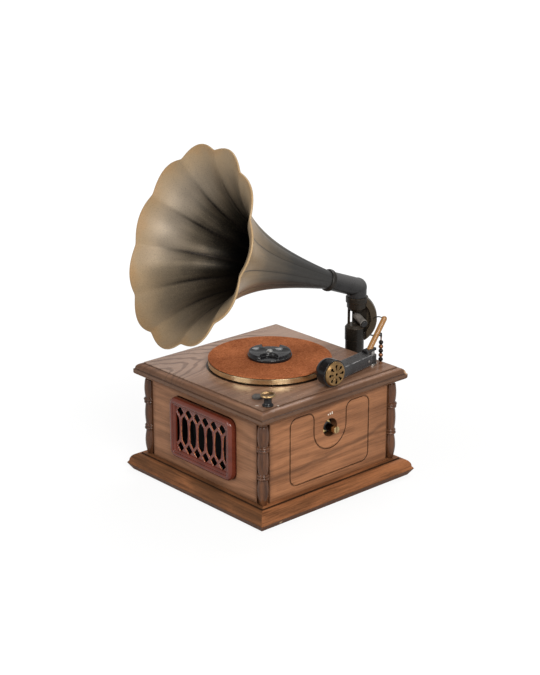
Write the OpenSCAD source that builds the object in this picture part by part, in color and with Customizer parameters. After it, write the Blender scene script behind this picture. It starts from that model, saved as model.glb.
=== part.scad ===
// Horn phonograph: a small electric record player in a walnut box, with a petal horn on a bracket
// behind it.
// Millimetres, +Z up. The origin is the middle of the underside; -Y is the grille side, +X the volume side.

/* [Cabinet] */
// Width and depth of the box, outside its panels
box_w = 150; // [146:1:160]
// Height of the panels between plinth and lid
box_h = 71; // [70:1:85]
// Thickness of the panels
panel_t = 7; // [6:0.5:8]
// Height of the plinth moulding
plinth_h = 16; // [15:0.5:19]
// How far the plinth stands out past the panels
plinth_out = 14; // [12:0.5:17]
// Thickness of the bottom board
bottom_t = 6; // [4:0.5:7]
// Height of the cove under the lid board
apron_h = 4; // [3:0.5:6]
// Thickness of the lid board
lid_t = 9; // [8:0.5:12]
// How far the lid stands out past the panels
lid_out = 8.4; // [7.5:0.2:10]
// Radius of a corner post's straight stretches
post_r = 4.6; // [4:0.1:5]
// Height of the beads on a corner post
bead_h = 2.4; // [1.8:0.1:3]

/* [Side panel groove] */
// Width of the grooved outline
groove_w = 91.5; // [80:0.5:100]
// Height of the grooved outline
groove_h = 61; // [56:0.5:64]
// Corner radius of the outline
groove_r = 8; // [5:0.5:10]
// Radius of the round-bottomed notch about the volume hole
notch_r = 17.9; // [15:0.1:20]
// Width of the groove
groove_line = 1.2; // [0.8:0.1:2]
// Depth of the groove
groove_depth = 0.8; // [0.4:0.1:1.5]

/* [Grille and speaker] */
// Width of the grille frame
grille_w = 78; // [74:0.5:84]
// Height of the grille frame
grille_h = 52; // [48:0.5:56]
// Thickness of the grille frame
grille_t = 6.4; // [5.6:0.1:7]
// Thickness of the pierced plate
plate_t = 2; // [1.4:0.1:2.6]
// Distance between the bars
bar_pitch = 10.9; // [10.4:0.1:11.4]
// Height of the pointed openings
lens_h = 24.4; // [20:0.2:26]
// Width of the pointed openings
lens_w = 8; // [6:0.1:8.4]
// Height of the diamond holes
diamond_h = 8.7; // [7:0.1:9.6]
// Width of the diamond holes
diamond_w = 7.4; // [5:0.1:8]
// Radius of the speaker
speaker_r = 33; // [31:0.5:34]
// Depth of the speaker from its mounting face to the back of the magnet
speaker_depth = 32; // [28:0.5:36]

/* [Turntable] */
// Radius of the brass rim
rim_r = 53.2; // [50:0.1:56]
// Height of the brass rim
rim_h = 6.4; // [6:0.1:7.5]
// Wall of the brass rim
rim_wall = 1; // [0.8:0.1:1.4]
// Gap between the lid and the turning rim
rim_gap = 0.8; // [0.5:0.1:1.5]
// Thickness of the felt mat
mat_t = 1.2; // [0.8:0.1:1.8]
// Radius of the spindle
spindle_r = 3.6; // [3:0.1:4]
// Radius of the large-hole record adapter
adapter_r = 19; // [18:0.1:20]
// Height of the adapter's base disc
adapter_base_h = 2.6; // [2:0.1:3.2]
// Height of the finger wings on the adapter
adapter_wing_h = 3.4; // [2.5:0.1:4]
// Radius of the driving ring under the platter
drive_r = 38; // [36:0.5:39]
// Radius of the motor pulley
pulley_r = 3.1; // [2.6:0.1:3.4]
// Distance of the motor shaft from the spindle
motor_reach = 44.5; // [43:0.5:45]

/* [Volume control] */
// Height of the volume shaft above the plinth
volume_up = 48.5; // [46:0.5:50]
// Radius of the hole in the panel
volume_hole_r = 8; // [7:0.1:9]
// Radius of the volume shaft's end, where a knob sits
volume_r = 3; // [2.5:0.1:3.2]
// How far the shaft stands out of the panel
volume_out = 8; // [6:0.5:12]

/* [Selector] */
// Distance of the selector inside the right face of the box
selector_in_x = 4; // [3:0.5:6]
// Distance of the selector behind the front face of the box
selector_in_y = 9; // [7:0.5:11]
// Radius of the selector's black stem
selector_r = 4.6; // [4:0.1:5]
// Height of the selector above the lid
selector_h = 10; // [8:0.5:12]

/* [Tone arm] */
// Distance of the arm post inside the right face of the box
arm_in_x = 16.9; // [15:0.1:19]
// Distance of the arm post inside the back face of the box
arm_in_y = 10; // [8:0.5:12]
// Angle of the arm from the -Y direction, towards the volume side
arm_turn = 9; // [7:0.5:12]
// Width of the arm
arm_w = 12; // [11:0.5:13]
// Height of the arm
arm_h = 9; // [8.5:0.5:10]
// Height of the arm's underside above the lid
arm_up = 3; // [2.5:0.1:4]
// Distance from the post to the middle of the sound box
arm_len = 64; // [62:0.5:67]
// Radius of the sound box
box_r = 11.5; // [10.5:0.1:11.6]
// Depth of the sound box
sound_depth = 14; // [12:0.5:15]
// Radius of the arm post
arm_post_r = 2.4; // [2.2:0.1:2.8]

/* [Horn] */
// Radius of the mouth at the tips of the petals
mouth_r = 87; // [80:0.5:92]
// Radius of the small end
throat_r = 8.4; // [7.6:0.1:8.6]
// Length from the small end to the mouth
horn_len = 150; // [140:1:160]
// Wall of the horn
horn_wall = 1.6; // [1.2:0.1:2.2]
// Number of petals
petals = 11; // [9:1:13]
// Depth of the notches between the petals at the mouth
petal_notch = 6; // [3:0.5:8]
// Rise of the horn above level, in degrees
horn_rise = 20.6; // [15:0.2:26]
// Turn of the horn about its bracket, in degrees
horn_turn = -8.3; // [-12:0.1:0]

/* [Horn bracket] */
// Distance of the bracket's axis behind the back panel
bracket_out = 27; // [25:0.5:30]
// Height of the collar's top above the lid
collar_up = 39.4; // [38:0.2:44]
// Radius of the collar's flange
collar_r = 10; // [9.5:0.1:11]
// Radius of the round post under the window
socket_r = 8.9; // [8:0.1:9.4]

/* [Peg and chain] */
// Radius of the wooden peg
peg_r = 2.4; // [2:0.1:2.8]
// Length of the wooden peg above its block
peg_len = 29.5; // [26:0.5:33]
// Lean of the peg towards the back, in degrees
peg_lean = 36; // [30:0.5:40]
// Radius of the chain's beads
chain_bead_r = 1.4; // [1.2:0.1:1.6]

/* [Hidden] */
$fn = 48;

// Colours as seen
walnut = [0.42, 0.27, 0.18];
dark_walnut = [0.30, 0.19, 0.12];
maroon = [0.45, 0.13, 0.11];
brass = [0.72, 0.56, 0.28];
felt = [0.55, 0.25, 0.11];
black = [0.06, 0.06, 0.06];
slate = [0.20, 0.21, 0.22];
steel = [0.62, 0.62, 0.60];
bronze = [0.45, 0.37, 0.26];
amber = [0.66, 0.39, 0.14];
copper = [0.40, 0.24, 0.16];
board_green = [0.25, 0.35, 0.20];

// Shared clearances
fit = 0.05;
run = 0.05;
seat = 0.3;

// Wood screws
screw_r = 1.2;
screw_head_r = 2.6;
screw_head_h = 1.6;

// Levels and half widths of the cabinet
half = box_w / 2;
inner = half - panel_t;
panel_end = inner - 1;
box_top = plinth_h + box_h;
board_low = box_top + apron_h;
lid_top = board_low + lid_t;
panel_mid = plinth_h + box_h / 2 + 1.5;
frame_in = inner - 4;
rebate = frame_in + 7;

// Levels of the turntable
rim_low = lid_top + rim_gap;
platter_top = rim_low + rim_h - mat_t;
mat_top = platter_top + mat_t;
platter_wall = 1.4;
platter_r = rim_r - rim_wall;
hub_r = 9;
hub_low = lid_top + 0.6;
ring_wall = 1.6;
belt_t = 0.9;
belt_h = 2.2;
belt_z = rim_low + 1;
motor_turn = 135;
motor_r = 15;
motor_h = 26;
motor_shaft_r = 1;
bush_r = 7;
bush_flange_r = 13;
bush_flange_t = 3;
bush_len = 20;
bush_floor = 2;

// Places on the lid
selector_x = half - selector_in_x;
selector_y = half - selector_in_y;
arm_x = half - arm_in_x;
arm_y = half - arm_in_y;
pad_at = [half - 22.5, 14.5 - half];

// Volume control: its axis and the plate that carries it
volume_z = plinth_h + volume_up;
volume_plate_t = 1.2;
volume_shank_r = volume_r + 0.15;
volume_bush_r = volume_shank_r + 0.7;
nut_flat = 10;
nut_t = 2.2;

// Places along the arm, measured from its post
arm_wall = 1.2;
pin_back = 12;
pin_up = arm_up + 4;
pin_r = 1;
arm_start = pin_back - 4;
arm_end = arm_len - box_r - 1.5;
yoke_r = 4;
post_flange = [4.4, 1.6];
post_up = 13;
cap_r = box_r - 0.9;
cap_t = 2.4;
head_up = box_r + 0.5;
head_side = 3.4;

// Bracket: its axis, and the levels of its collar, window and post
bracket_y = half + bracket_out;
collar_side = 1.5;
collar_top = lid_top + collar_up;
collar_flange_h = 4.6;
collar_h = 9.4;
collar_floor = collar_top - collar_h;
window_top = collar_floor - 2.8;
window_low = window_top - 13.8;
shoulder = window_low - 2.2;
socket_h = 11.5;
neck_r = socket_r - 0.5;
foot_size = [26, 4, 44];
foot_top = box_top - 3;
foot_edge = screw_head_r + 1.4;
rib_r = 24.4;
rib_thick = 5.5;
rib_wide = 6;
rib_back = -4.8;
rib_mid = window_top - 7.6;

// Elbow: the horn's axis meets the bracket's axis at elbow_z
tube_r = throat_r;
tube_wall = 1.4;
spigot_r = tube_r - 0.8;
elbow_up = 8.55;
elbow_z = collar_top + elbow_up;
tube_end = 33.6;
ring_len = 4.6;
throat_len = 3;

// Peg, hook and chain
hump = [2 * arm_post_r + 1, 13, 2.2];
peg_foot = [arm_x + 0.3, arm_y - 3.4, lid_top + post_up + 1.2];
tenon = [1.2, 0.6];
hook_at = 12.6;
hook_reach = 5.4;
hook_rise = 1.5;
hook_r = 0.6;
hook_turn = 45;
hang_at = 2.2;
wire_r = 0.5;

// Points of an arc from angle a0 to a1 in n steps, with the two radii given
function arc(x, y, rx, ry, a0, a1, n) =
    [for (i = [0 : n]) let (a = a0 + (a1 - a0) * i / n) [x + rx * cos(a), y + ry * sin(a)]];

// Outline of a swelling stretch from level z0 to z1: straight from r0 to r1 with a sine bulge added
function barrel(z0, z1, r0, r1, bulge) =
    [for (i = [0 : 8]) let (t = i / 8) [r0 + (r1 - r0) * t + bulge * sin(180 * t), z0 + (z1 - z0) * t]];

// Outline of a half-round bead on a stem of radius r, starting at level z
function bead(z, r) = arc(r, z + bead_h / 2, 1, bead_h / 2, -90, 90, 6);

// A square run of moulding: the outline, given as [half width, level], on all four sides
module moulded_block(outline) {
    mirrored = [for (i = [len(outline) - 1 : -1 : 0]) [-outline[i][0], outline[i][1]]];
    reach = 2 * max([for (p = outline) p[0]]) + 2;
    intersection() {
        rotate([90, 0, 0]) linear_extrude(reach, center = true) polygon(concat(outline, mirrored));
        rotate([90, 0, 90]) linear_extrude(reach, center = true) polygon(concat(outline, mirrored));
    }
}

// A square block of half width w from level z0 to z1
module square_block(w, z0, z1) {
    translate([-w, -w, z0]) cube([2 * w, 2 * w, z1 - z0]);
}

module rounded_rect(w, h, r) {
    square([w - 2 * r, h], center = true);
    square([w, h - 2 * r], center = true);
    for (x = [-1, 1], y = [-1, 1]) translate([x * (w / 2 - r), y * (h / 2 - r)]) circle(r);
}

// Turns what is drawn on the front to side k: 0 front, 1 right, 2 back, 3 left
module on_side(k) {
    rotate([0, 0, 90 * k]) children();
}

// Stands a flat drawing up at depth y and thickens it towards the front
module facing(y, t) {
    translate([0, y, 0]) rotate([90, 0, 0]) linear_extrude(t) children();
}

// Cylinder along -Y, from depth y towards the front
module bar_forward(x, y, z, r, len) {
    translate([x, y, z]) rotate([90, 0, 0]) cylinder(h = len, r = r);
}

// Countersunk wood screw with its head's face at the origin, pointing along +Z
module wood_screw(len) {
    cylinder(h = screw_head_h, r1 = screw_head_r, r2 = screw_r);
    cylinder(h = len, r = screw_r);
}

// Cylinder between two points
module rod(a, b, r) {
    d = b - a;
    translate(a) rotate([0, acos(d[2] / norm(d)), atan2(d[1], d[0])]) cylinder(h = norm(d), r = r);
}

// Cabinet

bottom_screw_at = frame_in + 3.5;
bottom_screw_len = bottom_t + 6;
module each_bottom_screw() {
    for (k = [0 : 3], x = [-1, 1]) on_side(k) translate([x * half * 0.6, -bottom_screw_at, 0.2]) children();
}

module plinth() {
    round_low = plinth_h / 2;
    outline = concat(
        [[half + plinth_out - 4, 0], [half + plinth_out, round_low - 2]],
        arc(half + plinth_out - 8.8, round_low, 7.3, plinth_h - 1 - round_low, 0, 90, 8),
        [[half + plinth_out - 9.6, plinth_h - 1], [half + plinth_out - 9.6, plinth_h]]);
    color(dark_walnut) difference() {
        moulded_block(outline);
        square_block(frame_in, -1, plinth_h + 1);
        square_block(rebate, -1, bottom_t);
        each_bottom_screw() cylinder(h = bottom_screw_len, r = screw_r + fit);
    }
}

module bottom_board() {
    color(dark_walnut) difference() {
        square_block(rebate - fit, 0, bottom_t);
        each_bottom_screw() translate([0, 0, -0.2]) cylinder(h = bottom_t + 1, r = screw_r + fit);
        each_bottom_screw() cylinder(h = screw_head_h, r1 = screw_head_r + fit, r2 = screw_r + fit);
        each_bottom_screw() translate([0, 0, -1]) cylinder(h = 1, r = screw_head_r + fit);
        each_board_post() translate([0, 0, bottom_t - 3]) cylinder(h = 4, r = board_pin_r + fit);
    }
}

module bottom_screws() {
    color(steel) each_bottom_screw() wood_screw(bottom_screw_len - 0.4);
}

module panel_blank() {
    translate([-panel_end, -half, plinth_h]) cube([2 * panel_end, panel_t, box_h]);
}

// Grooved outline drawn inward by inset, with or without the round-bottomed notch in its top edge
module groove_outline(inset, notched) {
    w = groove_w / 2 - inset;
    h = groove_h / 2 - inset;
    r = groove_r - inset;
    side = notch_r + inset;
    hole = volume_z - panel_mid;
    notch = concat(
        arc(side + r, h - r, r, r, 90, 180, 8),
        arc(0, hole, side, side, 0, -180, 32),
        arc(-side - r, h - r, r, r, 0, 90, 8));
    polygon(concat(
        arc(w - r, r - h, r, r, -90, 0, 8),
        arc(w - r, h - r, r, r, 0, 90, 8),
        notched ? notch : [],
        arc(r - w, h - r, r, r, 90, 180, 8),
        arc(r - w, r - h, r, r, 180, 270, 8)));
}

module groove(notched) {
    translate([0, 0, panel_mid]) difference() {
        facing(-half + groove_depth, groove_depth + 1) groove_outline(0, notched);
        facing(-half + groove_depth + 1, groove_depth + 3) groove_outline(groove_line, notched);
    }
}

grille_recess = 1.2;
grille_gap = 1.4;
grille_corner = 6;
grille_side = 2;
grille_mid = panel_mid + 1;
peg_size = [1.5, 4];
window_w = grille_w - 16;
window_h = grille_h - 16;
module each_grille_peg() {
    for (x = [-1, 1], z = [-1, 1])
        translate([
            grille_side + x * (grille_w / 2 - 3), -half + grille_recess, grille_mid + z * (grille_h / 2 - 3)])
            children();
}

speaker_hole_r = speaker_r - 2.6;
module each_speaker_screw() {
    for (a = [45 : 90 : 315])
        translate([speaker_hole_r * cos(a), -inner, panel_mid + speaker_hole_r * sin(a)]) children();
}
speaker_screw_len = 6;
speaker_flange_t = 2;

module front_panel() {
    color(walnut) difference() {
        panel_blank();
        translate([grille_side, 0, grille_mid]) facing(-half + grille_recess, grille_recess + 1)
            rounded_rect(grille_w + 2 * grille_gap, grille_h + 2 * grille_gap, grille_corner + grille_gap);
        translate([grille_side, 0, grille_mid]) facing(-inner + 1, panel_t + 2)
            rounded_rect(window_w, window_h, 4);
        each_grille_peg() rotate([-90, 0, 0]) cylinder(h = peg_size[1] + 0.3, r = peg_size[0] + fit);
        each_speaker_screw() rotate([90, 0, 0])
            cylinder(h = speaker_screw_len - speaker_flange_t, r = screw_r + fit);
    }
}

module right_panel() {
    color(walnut) on_side(1) difference() {
        panel_blank();
        groove(true);
        bar_forward(0, -inner + 1, volume_z, volume_hole_r, panel_t + 2);
        each_plate_screw() rotate([90, 0, 0]) cylinder(h = plate_screw_len, r = screw_r + fit);
    }
}

module left_panel() {
    color(walnut) on_side(3) difference() {
        panel_blank();
        groove(false);
    }
}

cord_bush_r = 5;
cord_bush_at = [half - 33, plinth_h + 12];
module back_panel() {
    color(walnut) on_side(2) difference() {
        panel_blank();
        each_foot_screw() rotate([-90, 0, 0]) cylinder(h = panel_t, r = screw_r + fit);
        bar_forward(cord_bush_at[0], -inner + 1, cord_bush_at[1], cord_bush_r, panel_t + 2);
    }
}

module cord_bush() {
    color(black) on_side(2) translate([cord_bush_at[0], -half, cord_bush_at[1]]) rotate([-90, 0, 0])
        rotate_extrude() polygon([
            [2.6, -2.5], [cord_bush_r + 1.5, -2.5], [cord_bush_r + 2.5, -1.2], [cord_bush_r + 2.5, 0],
            [cord_bush_r, 0], [cord_bush_r, panel_t], [2.6, panel_t]]);
}

post_at = half - 1.5;
block_in = inner - 11;
module corner_blocks() {
    color(dark_walnut) for (k = [0 : 3]) on_side(k) difference() {
        union() {
            translate([block_in, -inner, plinth_h]) cube([inner - block_in, inner - block_in, box_h]);
            translate([panel_end, -half, plinth_h]) cube([half - panel_end, half - panel_end, box_h]);
        }
        translate([post_at, -post_at, plinth_h - 1]) cylinder(h = box_h + 2, r = post_r + 1 + seat);
    }
}

// A turned post: neck, shaft, double bead, shaft, double bead and a barrel foot
module corner_post() {
    low_bead = plinth_h + 0.32 * box_h;
    high_bead = plinth_h + 0.66 * box_h;
    outline = concat(
        [[0, plinth_h], [post_r - 1.8, plinth_h]],
        barrel(plinth_h + 0.5, low_bead, post_r - 1.4, post_r - 0.9, 1.5),
        bead(low_bead, post_r - 0.4),
        bead(low_bead + bead_h, post_r - 0.7),
        barrel(low_bead + 2 * bead_h + 0.4, high_bead - 0.4, post_r - 0.6, post_r - 0.6, 0.7),
        bead(high_bead, post_r - 0.4),
        bead(high_bead + bead_h, post_r - 0.1),
        barrel(high_bead + 2 * bead_h + 0.4, box_top - 2.5, post_r - 0.6, post_r - 0.6, 0.8),
        [[post_r - 1.4, box_top - 1.5], [post_r - 1.4, box_top], [0, box_top]]);
    color(walnut) translate([post_at, -post_at, 0]) rotate_extrude() polygon(outline);
}

module front_right_post() {
    on_side(0) corner_post();
}

module back_right_post() {
    on_side(1) corner_post();
}

module back_left_post() {
    on_side(2) corner_post();
}

module front_left_post() {
    on_side(3) corner_post();
}

switch_r = 5.4;
switch_top = lid_top - 4;
module switch_pocket(extra) {
    translate([selector_x, -selector_y, box_top - 1])
        cylinder(h = switch_top - box_top + 1 + extra, r = switch_r + fit);
}

module lid_apron() {
    outline = concat(
        [[half + 1.5, box_top]],
        arc(half + 1.5, board_low, lid_out - 1.5, apron_h - 0.8, -90, 0, 6));
    color(dark_walnut) difference() {
        moulded_block(outline);
        square_block(frame_in, box_top - 1, board_low + 1);
        switch_pocket(0);
    }
}

module lid_board() {
    step = 2.3;
    edge = 2.8;
    outline = concat(
        [[half + lid_out, board_low], [half + lid_out, board_low + edge]],
        arc(half + step, board_low + edge + 0.6, lid_out - step - 1.1, lid_t - edge - 1.7, 0, 90, 8),
        [[half + step - 0.6, lid_top - 0.7], [half + step - 0.6, lid_top]]);
    color(walnut) difference() {
        moulded_block(outline);
        translate([0, 0, board_low - 1]) cylinder(h = lid_t + 2, r = bush_r);
        at_motor() translate([0, 0, board_low - 1]) cylinder(h = lid_t + 2, r = motor_shaft_r + 2);
        translate([arm_x, arm_y, board_low + 1]) cylinder(h = lid_t, r = arm_post_r - 0.5);
        switch_pocket(fit);
        translate([selector_x, -selector_y, board_low]) cylinder(h = lid_t + 1, r = selector_shaft_r + 0.5);
        chain_foot() translate([0, 0, -4]) cylinder(h = 5, r = eyelet_r);
    }
}

// Grille and speaker

// Pointed opening: slightly bowed sides, where two large circles overlap, and an arch of 45 degrees at
// each end
lens_bow_r = 55;
module lens(h, w) {
    intersection() {
        translate([lens_bow_r - w / 2, 0]) circle(lens_bow_r, $fn = 192);
        translate([w / 2 - lens_bow_r, 0]) circle(lens_bow_r, $fn = 192);
        diamond(h, h);
    }
}

module diamond(h, w) {
    polygon([[0, -h / 2], [w / 2, 0], [0, h / 2], [-w / 2, 0]]);
}

bars = 6;
frame_band = 5;
field_w = bars * bar_pitch + 2;
field_h = grille_h - 2 * frame_band;
diamond_row = (field_h - diamond_h) / 2 - 0.6;
plate_set = grille_t - plate_t - 1;
module pierced_field() {
    first = -(bars - 1) / 2 * bar_pitch;
    difference() {
        rounded_rect(field_w + 1, field_h + 1, 2);
        for (i = [0 : bars - 1], z = [-1, 1])
            translate([first + i * bar_pitch, z * diamond_row]) diamond(diamond_h, diamond_w);
        intersection() {
            square([field_w - 1, lens_h], center = true);
            for (i = [0 : bars]) translate([first + (i - 0.5) * bar_pitch, 0]) lens(lens_h, lens_w);
        }
    }
}

module grille() {
    back = -half + grille_recess;
    color(maroon) {
        translate([grille_side, 0, grille_mid]) {
            facing(back, grille_t - 1.4) difference() {
                rounded_rect(grille_w, grille_h, grille_corner);
                rounded_rect(field_w, field_h, 1.5);
            }
            facing(back - 1, grille_t - 1) difference() {
                rounded_rect(grille_w - 2.4, grille_h - 2.4, grille_corner - 1.2);
                rounded_rect(field_w + 1.6, field_h + 1.6, 2.2);
            }
            facing(back - plate_set, plate_t) pierced_field();
        }
        each_grille_peg() rotate([-90, 0, 0]) cylinder(h = peg_size[1], r = peg_size[0]);
    }
}

// Profile revolved about the speaker's axis: radius, and depth behind the panel's inner face
module about_speaker() {
    translate([0, -inner, panel_mid]) rotate([-90, 0, 0]) rotate_extrude() children();
}

cone_edge = 8;
cone_r = speaker_r - cone_edge;
cone_gap = 0.6;
basket_wall = 1.6;
basket_straight = speaker_flange_t + 2.5;
coil_r = 7.5;
basket_r = 17;
magnet_h = 11;
basket_depth = speaker_depth - magnet_h;
neck_h = 9;
module speaker_basket() {
    color(slate) difference() {
        about_speaker() polygon([
            [cone_r + cone_gap, 0], [speaker_r, 0], [speaker_r, speaker_flange_t],
            [cone_r + cone_gap + basket_wall, speaker_flange_t],
            [cone_r + cone_gap + basket_wall, basket_straight],
            [basket_r + 1, basket_depth - 1], [basket_r + 1, basket_depth], [coil_r + 1.2, basket_depth],
            [coil_r + 1.2, basket_depth - basket_wall], [basket_r - 0.6, basket_depth - basket_wall],
            [cone_r + cone_gap, basket_straight]]);
        each_speaker_screw() rotate([-90, 0, 0]) translate([0, 0, -1]) cylinder(h = 4, r = screw_r + fit);
    }
}

module speaker_cone() {
    front = 2;
    neck = basket_depth - neck_h;
    color(black) about_speaker() polygon([
        [0, neck - 3.4], [coil_r * 0.6, neck - 2.8], [coil_r, neck - 0.8], [cone_r, front],
        [cone_r, front + 0.7],
        [coil_r + 0.6, neck], [coil_r + 0.6, basket_depth + 3], [coil_r, basket_depth + 3], [coil_r, neck],
        [0, neck - 2.6]]);
}

module speaker_magnet() {
    slot = coil_r + 1;
    deep = speaker_depth - basket_depth;
    color(steel) about_speaker() polygon([
        [0, basket_depth + 0.4], [coil_r - 0.4, basket_depth + 0.4],
        [coil_r - 0.4, basket_depth + deep - 3],
        [slot, basket_depth + deep - 3], [slot, basket_depth], [basket_r, basket_depth],
        [basket_r, basket_depth + deep], [0, basket_depth + deep]]);
}

module speaker_screws() {
    color(steel) each_speaker_screw() translate([0, speaker_flange_t + 0.01, 0]) rotate([90, 0, 0]) {
        cylinder(h = speaker_screw_len - 0.5, r = screw_r);
        translate([0, 0, -1.4]) cylinder(h = 1.4, r = screw_head_r - 0.2);
    }
}

// Electrics inside the box

board_size = [52, 40, 1.6];
board_mid = [4 - frame_in + board_size[0] / 2, frame_in - 22 - board_size[1] / 2];
board_lift = 8;
capacitor = [4, 12];
chip = [3, 8, 2.6];
heat_sink = [18, 3, 14];
board_pin_r = 1.5;
module each_board_post() {
    for (x = [-1, 1], y = [-1, 1])
        translate([
            board_mid[0] + x * (board_size[0] / 2 - 4), board_mid[1] + y * (board_size[1] / 2 - 4), 0])
            children();
}

module board_posts() {
    color(steel) each_board_post() {
        translate([0, 0, bottom_t - 3 + fit]) cylinder(h = board_lift + board_size[2] + 4, r = board_pin_r);
        translate([0, 0, bottom_t]) cylinder(h = board_lift, r = board_pin_r + 1.5);
    }
}

module amplifier_board() {
    board_z = bottom_t + board_lift;
    top = board_z + board_size[2];
    color(board_green) difference() {
        union() {
            translate([board_mid[0] - board_size[0] / 2, board_mid[1] - board_size[1] / 2, board_z])
                cube(board_size);
            for (i = [-1 : 1])
                translate([board_mid[0] + i * 3.4 * capacitor[0], board_mid[1] + 2 * capacitor[0], top])
                cylinder(h = capacitor[1], r = capacitor[0]);
            for (i = [-2 : 2])
                translate([board_mid[0] + i * 2.6 * chip[0], board_mid[1] - 1.5 * chip[1], top]) cube(chip);
            translate([board_mid[0] - heat_sink[0] / 2, board_mid[1] - heat_sink[1], top]) cube(heat_sink);
        }
        each_board_post() translate([0, 0, board_z - 1]) cylinder(h = 4, r = board_pin_r + fit);
    }
}

core = [34, 26, 28];
coil_out = 7;
strap = [48, 12, 1.5];
transformer_at = [frame_in - 2 - strap[0] / 2, frame_in - 8 - coil_out - core[1] / 2];
module transformer() {
    color(steel) translate([transformer_at[0], transformer_at[1], bottom_t]) {
        translate([-core[0] / 2, -core[1] / 2, 0]) cube(core);
        translate([0, 0, core[2] / 2]) rotate([90, 0, 0])
            cylinder(h = core[1] + 2 * coil_out, r = core[2] * 0.36, center = true);
        translate([-strap[0] / 2, -strap[1] / 2, 0]) cube(strap);
    }
}

// Turntable

module at_motor() {
    translate([motor_reach * cos(motor_turn), motor_reach * sin(motor_turn), 0]) children();
}

module motor() {
    color(steel) at_motor() difference() {
        union() {
            translate([0, 0, board_low - 2]) cylinder(h = 2, r = motor_r + 5);
            translate([0, 0, board_low - 2 - motor_h]) cylinder(h = motor_h, r = motor_r);
            translate([0, 0, board_low - 5 - motor_h]) cylinder(h = 3, r = 5);
        }
        translate([0, 0, board_low - motor_h + 4]) cylinder(h = motor_h, r = motor_shaft_r + run);
    }
}

module motor_pulley() {
    low = belt_z - 0.6;
    color(brass) at_motor() {
        translate([0, 0, board_low - motor_h + 4 + seat])
            cylinder(h = low - board_low + motor_h - 4, r = motor_shaft_r);
        translate([0, 0, low]) cylinder(h = 0.5, r = pulley_r + 0.5);
        translate([0, 0, low]) cylinder(h = belt_h + 0.8, r = pulley_r);
    }
}

// Loop round the driving ring and the pulley, drawn outward by t
belt_gap = 0.1;
module belt_loop(t) {
    big = drive_r + belt_gap + t;
    small = pulley_r + belt_gap + t;
    a = acos((big - small) / motor_reach);
    polygon(concat(
        arc(0, 0, big, big, a, 360 - a, 96),
        arc(motor_reach, 0, small, small, -a, a, 32)));
}

module drive_belt() {
    color(black) translate([0, 0, belt_z]) rotate([0, 0, motor_turn]) linear_extrude(belt_h) difference() {
        belt_loop(belt_t);
        belt_loop(0);
    }
}

module spindle_bush() {
    low = lid_top - bush_len;
    color(brass) difference() {
        union() {
            translate([0, 0, low]) cylinder(h = bush_len + 0.2, r = bush_r);
            translate([0, 0, board_low - bush_flange_t]) cylinder(h = bush_flange_t, r = bush_flange_r);
        }
        translate([0, 0, low + bush_floor]) cylinder(h = bush_len, r = spindle_r + run);
    }
}

module spindle() {
    low = lid_top - bush_len + bush_floor + seat;
    top = mat_top + adapter_base_h + 1.6;
    color(steel) {
        translate([0, 0, low]) cylinder(h = top - low, r = spindle_r);
        translate([0, 0, top]) cylinder(h = 1.6, r1 = spindle_r, r2 = spindle_r - 1.4);
    }
}

module platter() {
    under = platter_top - platter_wall;
    color(slate) rotate_extrude() polygon([
        [spindle_r, hub_low], [hub_r, hub_low], [hub_r, under], [drive_r - ring_wall, under],
        [drive_r - ring_wall, belt_z - 0.4], [drive_r, belt_z - 0.4], [drive_r, under],
        [platter_r - 1.2, under], [platter_r - 1.2, rim_low + 0.4], [platter_r, rim_low + 0.4],
        [platter_r, platter_top], [spindle_r, platter_top]]);
}

rim_round = 0.8;
module platter_rim() {
    color(brass) rotate_extrude() polygon(concat(
        [[platter_r, rim_low], [rim_r - 0.4, rim_low], [rim_r, rim_low + 0.6]],
        arc(rim_r - rim_round, platter_top - rim_round, rim_round, rim_round, 0, 90, 6),
        [[platter_r, platter_top]]));
}

// The mat covers the rim's top and stops just short of its edge
mat_back = 0.2;
module platter_mat() {
    color(felt) translate([0, 0, platter_top]) difference() {
        cylinder(h = mat_t, r = rim_r - mat_back);
        translate([0, 0, -1]) cylinder(h = mat_t + 2, r = spindle_r + 0.3);
    }
}

adapter_foot = 0.3;
adapter_turn = 45;
module record_adapter() {
    bite_r = 7.6;
    dish_r = 12;
    dish_at = adapter_r * 0.52;
    base_top = mat_top + adapter_base_h;
    color(black) rotate([0, 0, adapter_turn]) difference() {
        union() {
            translate([0, 0, mat_top])
                cylinder(h = adapter_foot + 0.01, r1 = adapter_r - adapter_foot, r2 = adapter_r);
            translate([0, 0, mat_top + adapter_foot])
                cylinder(h = adapter_base_h - adapter_foot, r = adapter_r);
            difference() {
                translate([0, 0, base_top - 0.01])
                    cylinder(h = adapter_wing_h, r1 = adapter_r - 0.3, r2 = adapter_r - 1);
                for (y = [-1, 1]) translate([0, y * (adapter_r * 0.72), base_top])
                    cylinder(h = adapter_wing_h + 1, r = bite_r);
                for (x = [-1, 1])
                    translate([x * dish_at, 0, base_top + dish_r + 0.8]) sphere(dish_r);
            }
        }
        translate([0, 0, mat_top - 1])
            cylinder(h = adapter_base_h + adapter_wing_h + 2, r = spindle_r + 0.08);
    }
}

// Selector and pad on the lid

selector_shaft_r = 1.6;
selector_cap_t = 2.6;
module at_selector() {
    translate([selector_x, -selector_y, 0]) children();
}

module selector_switch() {
    color(slate) at_selector() difference() {
        translate([0, 0, box_top + seat]) cylinder(h = switch_top - box_top - seat, r = switch_r);
        translate([0, 0, box_top + 3]) cylinder(h = lid_t + 4, r = selector_shaft_r + run);
    }
}

module selector_stem() {
    stem_low = lid_top + seat;
    color(black) at_selector() {
        translate([0, 0, box_top + 3 + seat]) cylinder(h = stem_low - box_top - 3, r = selector_shaft_r);
        translate([0, 0, stem_low]) cylinder(h = 2, r = selector_r);
        translate([0, 0, stem_low + 2])
            cylinder(h = selector_h - selector_cap_t - seat - 2, r1 = selector_r, r2 = selector_r - 0.8);
    }
}

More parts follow.
